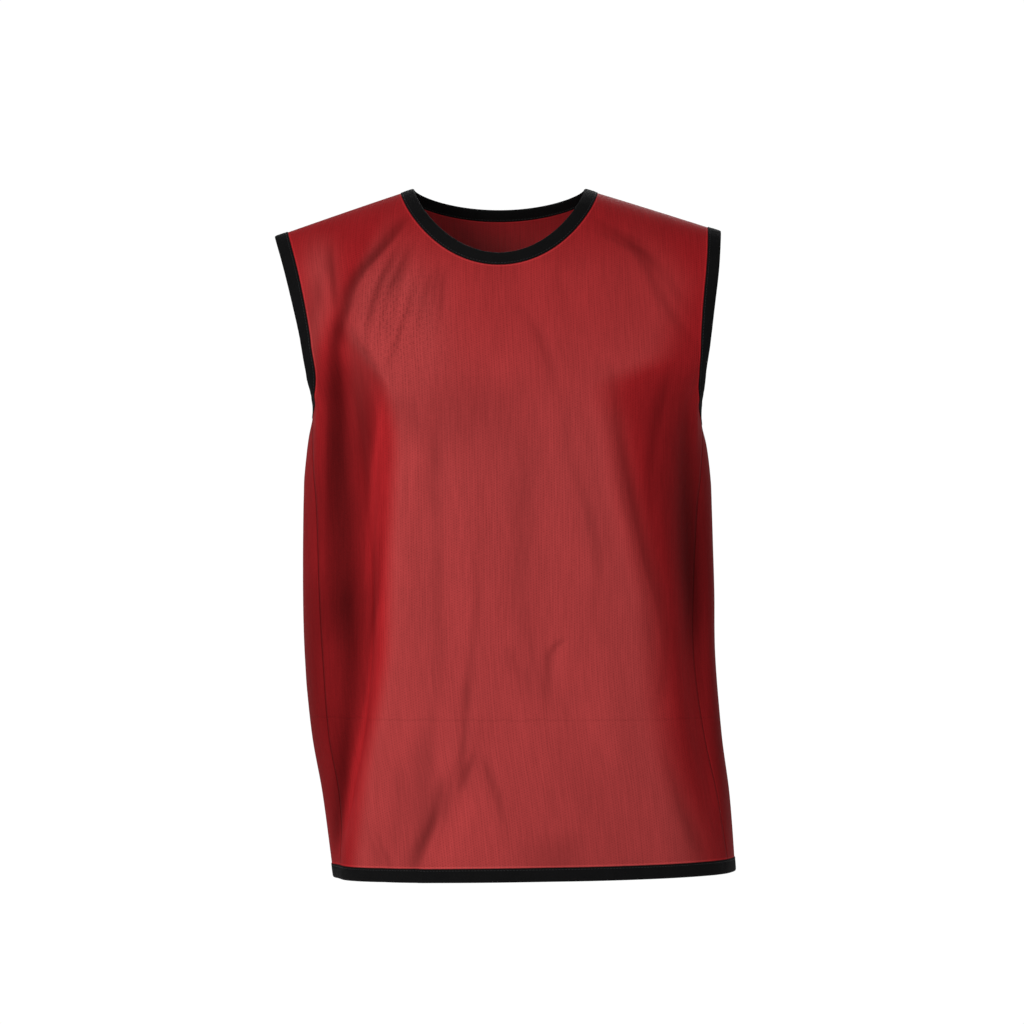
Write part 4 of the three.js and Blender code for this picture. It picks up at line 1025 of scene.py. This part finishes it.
def make_tape(name, strips, bib, material):
    """A tape folded over a loop of edge, with one wall inside and one outside the cloth."""
    points, normals = tape_ribs(strips)
    count = points.shape[1]
    length = np.linalg.norm(np.diff(points[-1], axis=0, append=points[-1][:1]), axis=-1)
    along = np.concatenate([[0], np.cumsum(length)])
    rng = np.random.default_rng(len(name) * 7 + count)
    waves = rng.uniform(0, 2 * np.pi, 6)
    s = along[:-1] / along[-1] * 2 * np.pi
    puff = sum(0.05 * np.sin(k * s + p) for k, p in zip((7, 13, 29, 47, 61, 83), waves))
    outline = (
        [(a, h) for a, h in TAPE_OUTLINE] + [(a, -h) for a, h in TAPE_OUTLINE[-2::-1]]
        + [(a, -h) for a, h in TAPE_LINING[:0:-1]] + [TAPE_LINING[0]] + [(a, h) for a, h in TAPE_LINING[1:]]
    )
    rows, widths = [], []
    for a, h in outline:
        lift = h + np.sign(h) * puff * (1.0 if 2.5 < a < 13 and abs(h) > 0.5 else 0.3 if abs(h) > 0.5 else 0.0)
        rows.append(rib_at(points, normals, a, lift))
        widths.append((a if h >= 0 else 28 - a))
    rows = np.stack(rows)
    corners = len(outline)
    index = np.arange(corners * count).reshape(corners, count)
    near, far = index, np.roll(index, -1, 0)
    quads = np.stack([near, np.roll(near, -1, 1), np.roll(far, -1, 1), far], -1).reshape(-1, 4)
    flat = rows.reshape(-1, 3)
    a, b, c, d = (flat[quads[:, k]] for k in range(4))
    if (a * np.cross(b - a, c - a)).sum() + (a * np.cross(c - a, d - a)).sum() < 0:
        quads = quads[:, ::-1]
    made = mesh_object(name, flat, quads, material)
    corner_vertex = np.empty(len(made.data.loops), int)
    made.data.loops.foreach_get("vertex_index", corner_vertex)
    rib, column = np.divmod(corner_vertex, count)
    ends = column.reshape(-1, 4)
    wraps = (ends.max(1) - ends.min(1) > 1)[:, None] & (ends == 0)
    run = np.where(wraps, along[-1], along[:-1][ends]).ravel()
    layer = made.data.uv_layers.new(name="cloth")
    layer.data.foreach_set("uv", (np.stack([np.array(widths)[rib], run], -1) * MM).astype(np.float32).ravel())
    return made, along[-1] * MM


def stitch_tree(bib, material):
    """Stitches laid end to end along lines that carry the way out of the cloth in the attribute out."""
    tree = bpy.data.node_groups.new("stitches", "GeometryNodeTree")
    face = tree.interface
    face.new_socket("Geometry", in_out="INPUT", socket_type="NodeSocketGeometry")
    for name, value in (("Pitch", bib.stitch_pitch), ("Stitch length", bib.stitch_pitch * 0.8),
                        ("Thread radius", bib.thread_radius)):
        socket = face.new_socket(name, in_out="INPUT", socket_type="NodeSocketFloat")
        socket.default_value = value
    face.new_socket("Geometry", in_out="OUTPUT", socket_type="NodeSocketGeometry")
    nodes = Nodes(tree)
    start = nodes.add("NodeGroupInput").outputs
    curve = nodes.add("GeometryNodeMeshToCurve", {"Mesh": start["Geometry"]}).outputs[0]
    spaced = nodes.add("GeometryNodeResampleCurve", {"Curve": curve, "Length": start["Pitch"]}, mode="LENGTH")
    stitch = nodes.add("GeometryNodeMeshUVSphere", {"Segments": 6, "Rings": 5, "Radius": 1.0}).outputs[0]
    shape = nodes.add("ShaderNodeCombineXYZ", {
        0: start["Thread radius"], 1: start["Thread radius"],
        2: nodes.math("MULTIPLY", start["Stitch length"], 0.5)}).outputs[0]
    shaped = nodes.add("GeometryNodeTransform", {"Geometry": stitch, "Scale": shape}).outputs[0]
    out = nodes.add("GeometryNodeInputNamedAttribute", {"Name": "out"}, data_type="FLOAT_VECTOR").outputs[0]
    tangent = nodes.add("GeometryNodeInputTangent").outputs[0]
    along = nodes.add("FunctionNodeAlignRotationToVector", {"Vector": tangent}, axis="Z").outputs[0]
    turned = nodes.add("FunctionNodeAlignRotationToVector", {"Rotation": along, "Vector": out},
                       axis="X", pivot_axis="Z").outputs[0]
    placed = nodes.add("GeometryNodeInstanceOnPoints", {
        "Points": spaced.outputs[0], "Instance": shaped, "Rotation": turned}).outputs[0]
    real = nodes.add("GeometryNodeRealizeInstances", {"Geometry": placed}).outputs[0]
    rounded = nodes.add("GeometryNodeSetShadeSmooth", {"Geometry": real}).outputs[0]
    finish = nodes.add("GeometryNodeSetMaterial", {"Geometry": rounded, "Material": material}).outputs[0]
    nodes.set(nodes.add("NodeGroupOutput").inputs[0], finish)
    return tree


def stitched(name, lines, tree, settings, material):
    """Run the stitch tree over closed lines of points and directions, and return the result as a plain mesh."""
    points = np.concatenate([p for p, _ in lines])
    out = np.concatenate([n for _, n in lines])
    edges, start = [], 0
    for line, _ in lines:
        index = np.arange(len(line)) + start
        edges.append(np.stack([index, np.roll(index, -1)], -1))
        start += len(line)
    mesh = bpy.data.meshes.new(name)
    mesh.from_pydata((points * MM).tolist(), np.concatenate(edges).tolist(), [])
    mesh.attributes.new("out", "FLOAT_VECTOR", "POINT").data.foreach_set("vector", out.astype(np.float32).ravel())
    mesh.materials.append(material)
    made = bpy.data.objects.new(name, mesh)
    bpy.context.scene.collection.objects.link(made)
    rows = made.modifiers.new("stitches", "NODES")
    rows.node_group = tree
    for item in tree.interface.items_tree:
        if item.in_out == "INPUT" and item.name in settings:
            rows[item.identifier] = settings[item.name]
    return made_plain(made)


# Loops of tape: name of the piece, the solid it stands for, its strip on the front and on the back panel
TAPES = (
    ("neck_tape", "neck_binding", "neck", "neck"),
    ("armhole_tape_left", "armhole_binding_left", ("armhole", LEFT), ("armhole", LEFT)),
    ("armhole_tape_right", "armhole_binding_right", ("armhole", RIGHT), ("armhole", RIGHT)),
    ("hem_tape", "hem_binding", "hem", "hem"),
)


class BibSettings(bpy.types.PropertyGroup):
    """Sizes and colours of the bib."""

    cloth_thickness: bpy.props.FloatProperty(
        name="Cloth thickness", description="Thickness of the mesh cloth", default=0.0005, min=0.0002,
        max=0.0012, precision=4, subtype="DISTANCE", unit="LENGTH")
    wale_pitch: bpy.props.FloatProperty(
        name="Wale pitch", description="Distance between the upright ribs of the knit", default=0.0027,
        min=0.0008, max=0.005, precision=4, subtype="DISTANCE", unit="LENGTH")
    course_pitch: bpy.props.FloatProperty(
        name="Course pitch", description="Distance between holes going up a wale", default=0.0025,
        min=0.0008, max=0.005, precision=4, subtype="DISTANCE", unit="LENGTH")
    openness: bpy.props.FloatProperty(
        name="Openness", description="How clearly one can see through a hole of the knit", default=0.2,
        min=0.0, max=1.0, subtype="FACTOR")
    # The red with painted light, as a lit body behind the sheer cloth shows through it where the cloth lies close.
    cloth_painted_light: bpy.props.FloatVectorProperty(
        name="Cloth over the body", description="Colour of the cloth where it lies flat and taut",
        default=(0.305, 0.035, 0.035), size=3, min=0.0, max=1.0, subtype="COLOR")
    cloth_deep: bpy.props.FloatVectorProperty(
        name="Cloth at the sides", description="Colour of the cloth where it hangs free",
        default=(0.262, 0.0105, 0.0130), size=3, min=0.0, max=1.0, subtype="COLOR")
    tape_colour: bpy.props.FloatVectorProperty(
        name="Tape", description="Colour of the folded tape", default=(0.0026, 0.0026, 0.0028), size=3,
        min=0.0, max=1.0, subtype="COLOR")
    thread_colour: bpy.props.FloatVectorProperty(
        name="Thread", description="Colour of the sewing thread", default=(0.010, 0.010, 0.011), size=3,
        min=0.0, max=1.0, subtype="COLOR")
    stitch_pitch: bpy.props.FloatProperty(
        name="Stitch pitch", description="Distance from one stitch to the next", default=0.0032,
        min=0.0015, max=0.008, precision=4, subtype="DISTANCE", unit="LENGTH")
    thread_radius: bpy.props.FloatProperty(
        name="Thread radius", description="Half the thickness of the sewing thread", default=0.00022,
        min=0.0001, max=0.0006, precision=5, subtype="DISTANCE", unit="LENGTH")


class BIB_OT_panels(bpy.types.Operator):
    """Make the front and the back panel"""

    bl_idname = "bib.panels"
    bl_label = "Front and back panel"

    def execute(self, context):
        bib = context.scene.bib
        material = mesh_cloth_material(bib)
        for face, flat, area, other in ((FRONT, (0.47, 0.70), 0.30, BACK), (BACK, (0.66, 0.72), 0.40, FRONT)):
            made = make_panel(face, bib, material)
        return {"FINISHED"}


class BIB_OT_tapes(bpy.types.Operator):
    """Make the four folded tapes"""

    bl_idname = "bib.tapes"
    bl_label = "Neck, armhole and hem tapes"

    def execute(self, context):
        bib = context.scene.bib
        material = tape_material(bib)
        for name, solid, front_strip, back_strip in TAPES:
            made, length = make_tape(name, (front_strip, back_strip), bib, material)
            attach(made, BODY)
            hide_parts(solid)
        return {"FINISHED"}


class BIB_OT_stitches(bpy.types.Operator):
    """Sew the tapes down, with a row of stitches outside and one inside"""

    bl_idname = "bib.stitches"
    bl_label = "Tape stitches"

    def execute(self, context):
        bib = context.scene.bib
        material = thread_material(bib)
        tree = stitch_tree(bib, material)
        lines = []
        for _, _, front_strip, back_strip in TAPES:
            points, normals = tape_ribs((front_strip, back_strip))
            row = normals[1]
            lines.append((rib_at(points, normals, 2.0, 0.92), row))
            lines.append((rib_at(points, normals, 2.0, -0.92), -row))
        made = stitched("tape_stitches", lines, tree, {}, material)
        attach(made, BODY)
        return {"FINISHED"}


FLOOR_Z, FLOOR_RADIUS = -1.0, 1.5


class BIB_OT_stage(bpy.types.Operator):
    """Make the floor, the lights and the camera"""

    bl_idname = "bib.stage"
    bl_label = "Stage"

    def execute(self, context):
        scene = context.scene
        material, nodes, output = new_material("pale_floor")
        place = nodes.add("ShaderNodeTexCoord").outputs["Object"]
        cloud = nodes.add("ShaderNodeTexNoise", {"Vector": place, "Scale": 3.0, "Detail": 2.0}).outputs[0]
        tone = nodes.blend(nodes.ramp(cloud, 0.3, 0.7), (0.93, 0.93, 0.93, 1), (0.95, 0.95, 0.95, 1))
        shader = nodes.add("ShaderNodeBsdfPrincipled", {"Base Color": tone, "Roughness": 0.9,
                                                        "Specular IOR Level": 0.1})
        nodes.set(output.inputs[0], shader.outputs[0])

        turns = np.radians(np.arange(0, 360, 5))
        rim = np.stack([np.cos(turns), np.sin(turns)], -1) * FLOOR_RADIUS
        points = np.vstack([(0, 0, FLOOR_Z), np.column_stack([rim, np.full(len(rim), FLOOR_Z)])]) / MM
        n = len(rim)
        mesh_object("floor", points, [(0, i + 1, (i + 1) % n + 1) for i in range(n)], material)

        def light(name, place, target, size, power, colour):
            data = bpy.data.lights.new(name, "AREA")
            data.shape = "DISK"
            data.size = size
            data.energy = power
            data.color = colour
            made = bpy.data.objects.new(name, data)
            scene.collection.objects.link(made)
            made.location = place
            made.rotation_euler = (Vector(target) - Vector(place)).to_track_quat("-Z", "Y").to_euler()
            return made

        middle = (0.0, 0.0, -0.34)
        light("key", (-2.2, -3.2, 0.8), middle, 1.4, 118, (1.0, 0.99, 0.98))
        light("fill", (2.2, -3.0, 0.3), middle, 2.4, 22, (1.0, 1.0, 1.0))
        light("top", (0.0, 0.4, 2.6), middle, 2.2, 5, (1.0, 1.0, 1.0))
        light("rear", (0.5, 2.7, 1.7), middle, 2.0, 36, (1.0, 1.0, 1.0))

        # The studio is white to look at, and lights the bib from all round less than half as much.
        world = bpy.data.worlds.new("studio")
        world.use_nodes = True
        around = Nodes(world.node_tree)
        seen = around.add("ShaderNodeLightPath").outputs["Is Camera Ray"]
        background = world.node_tree.nodes["Background"]
        background.inputs[0].default_value = (1.0, 1.0, 1.0, 1.0)
        around.set(background.inputs[1], around.math("MULTIPLY_ADD", seen, 0.6, 0.42))
        scene.world = world
        scene.view_settings.view_transform = "Standard"

        camera = bpy.data.objects.new("camera", bpy.data.cameras.new("camera"))
        scene.collection.objects.link(camera)
        camera.data.sensor_width = 36.0
        camera.data.lens = 36.0 * 5000 / 1024
        camera.location = (0.013, -5.060, -0.326)
        camera.rotation_euler = (np.pi / 2, 0.0, 0.0)
        scene.camera = camera
        return {"FINISHED"}


OPERATORS = (BIB_OT_stage, BIB_OT_panels, BIB_OT_tapes, BIB_OT_stitches)


class BIB_PT_sidebar(bpy.types.Panel):
    """Lists the steps that build the bib"""

    bl_idname = "BIB_PT_sidebar"
    bl_label = "Training bib"
    bl_space_type = "VIEW_3D"
    bl_region_type = "UI"
    bl_category = "Training bib"

    def draw(self, context):
        for name in BibSettings.__annotations__:
            self.layout.prop(context.scene.bib, name)
        for operator in OPERATORS:
            self.layout.operator(operator.bl_idname)


CLASSES = (BibSettings, *OPERATORS, BIB_PT_sidebar)


def register():
    for made in CLASSES:
        bpy.utils.register_class(made)
    bpy.types.Scene.bib = bpy.props.PointerProperty(type=BibSettings)


def unregister():
    del bpy.types.Scene.bib
    for made in reversed(CLASSES):
        bpy.utils.unregister_class(made)


def main():
    register()
    for operator in OPERATORS:
        group, name = operator.bl_idname.split(".")
        getattr(getattr(bpy.ops, group), name)()


if __name__ == "__main__":
    main()
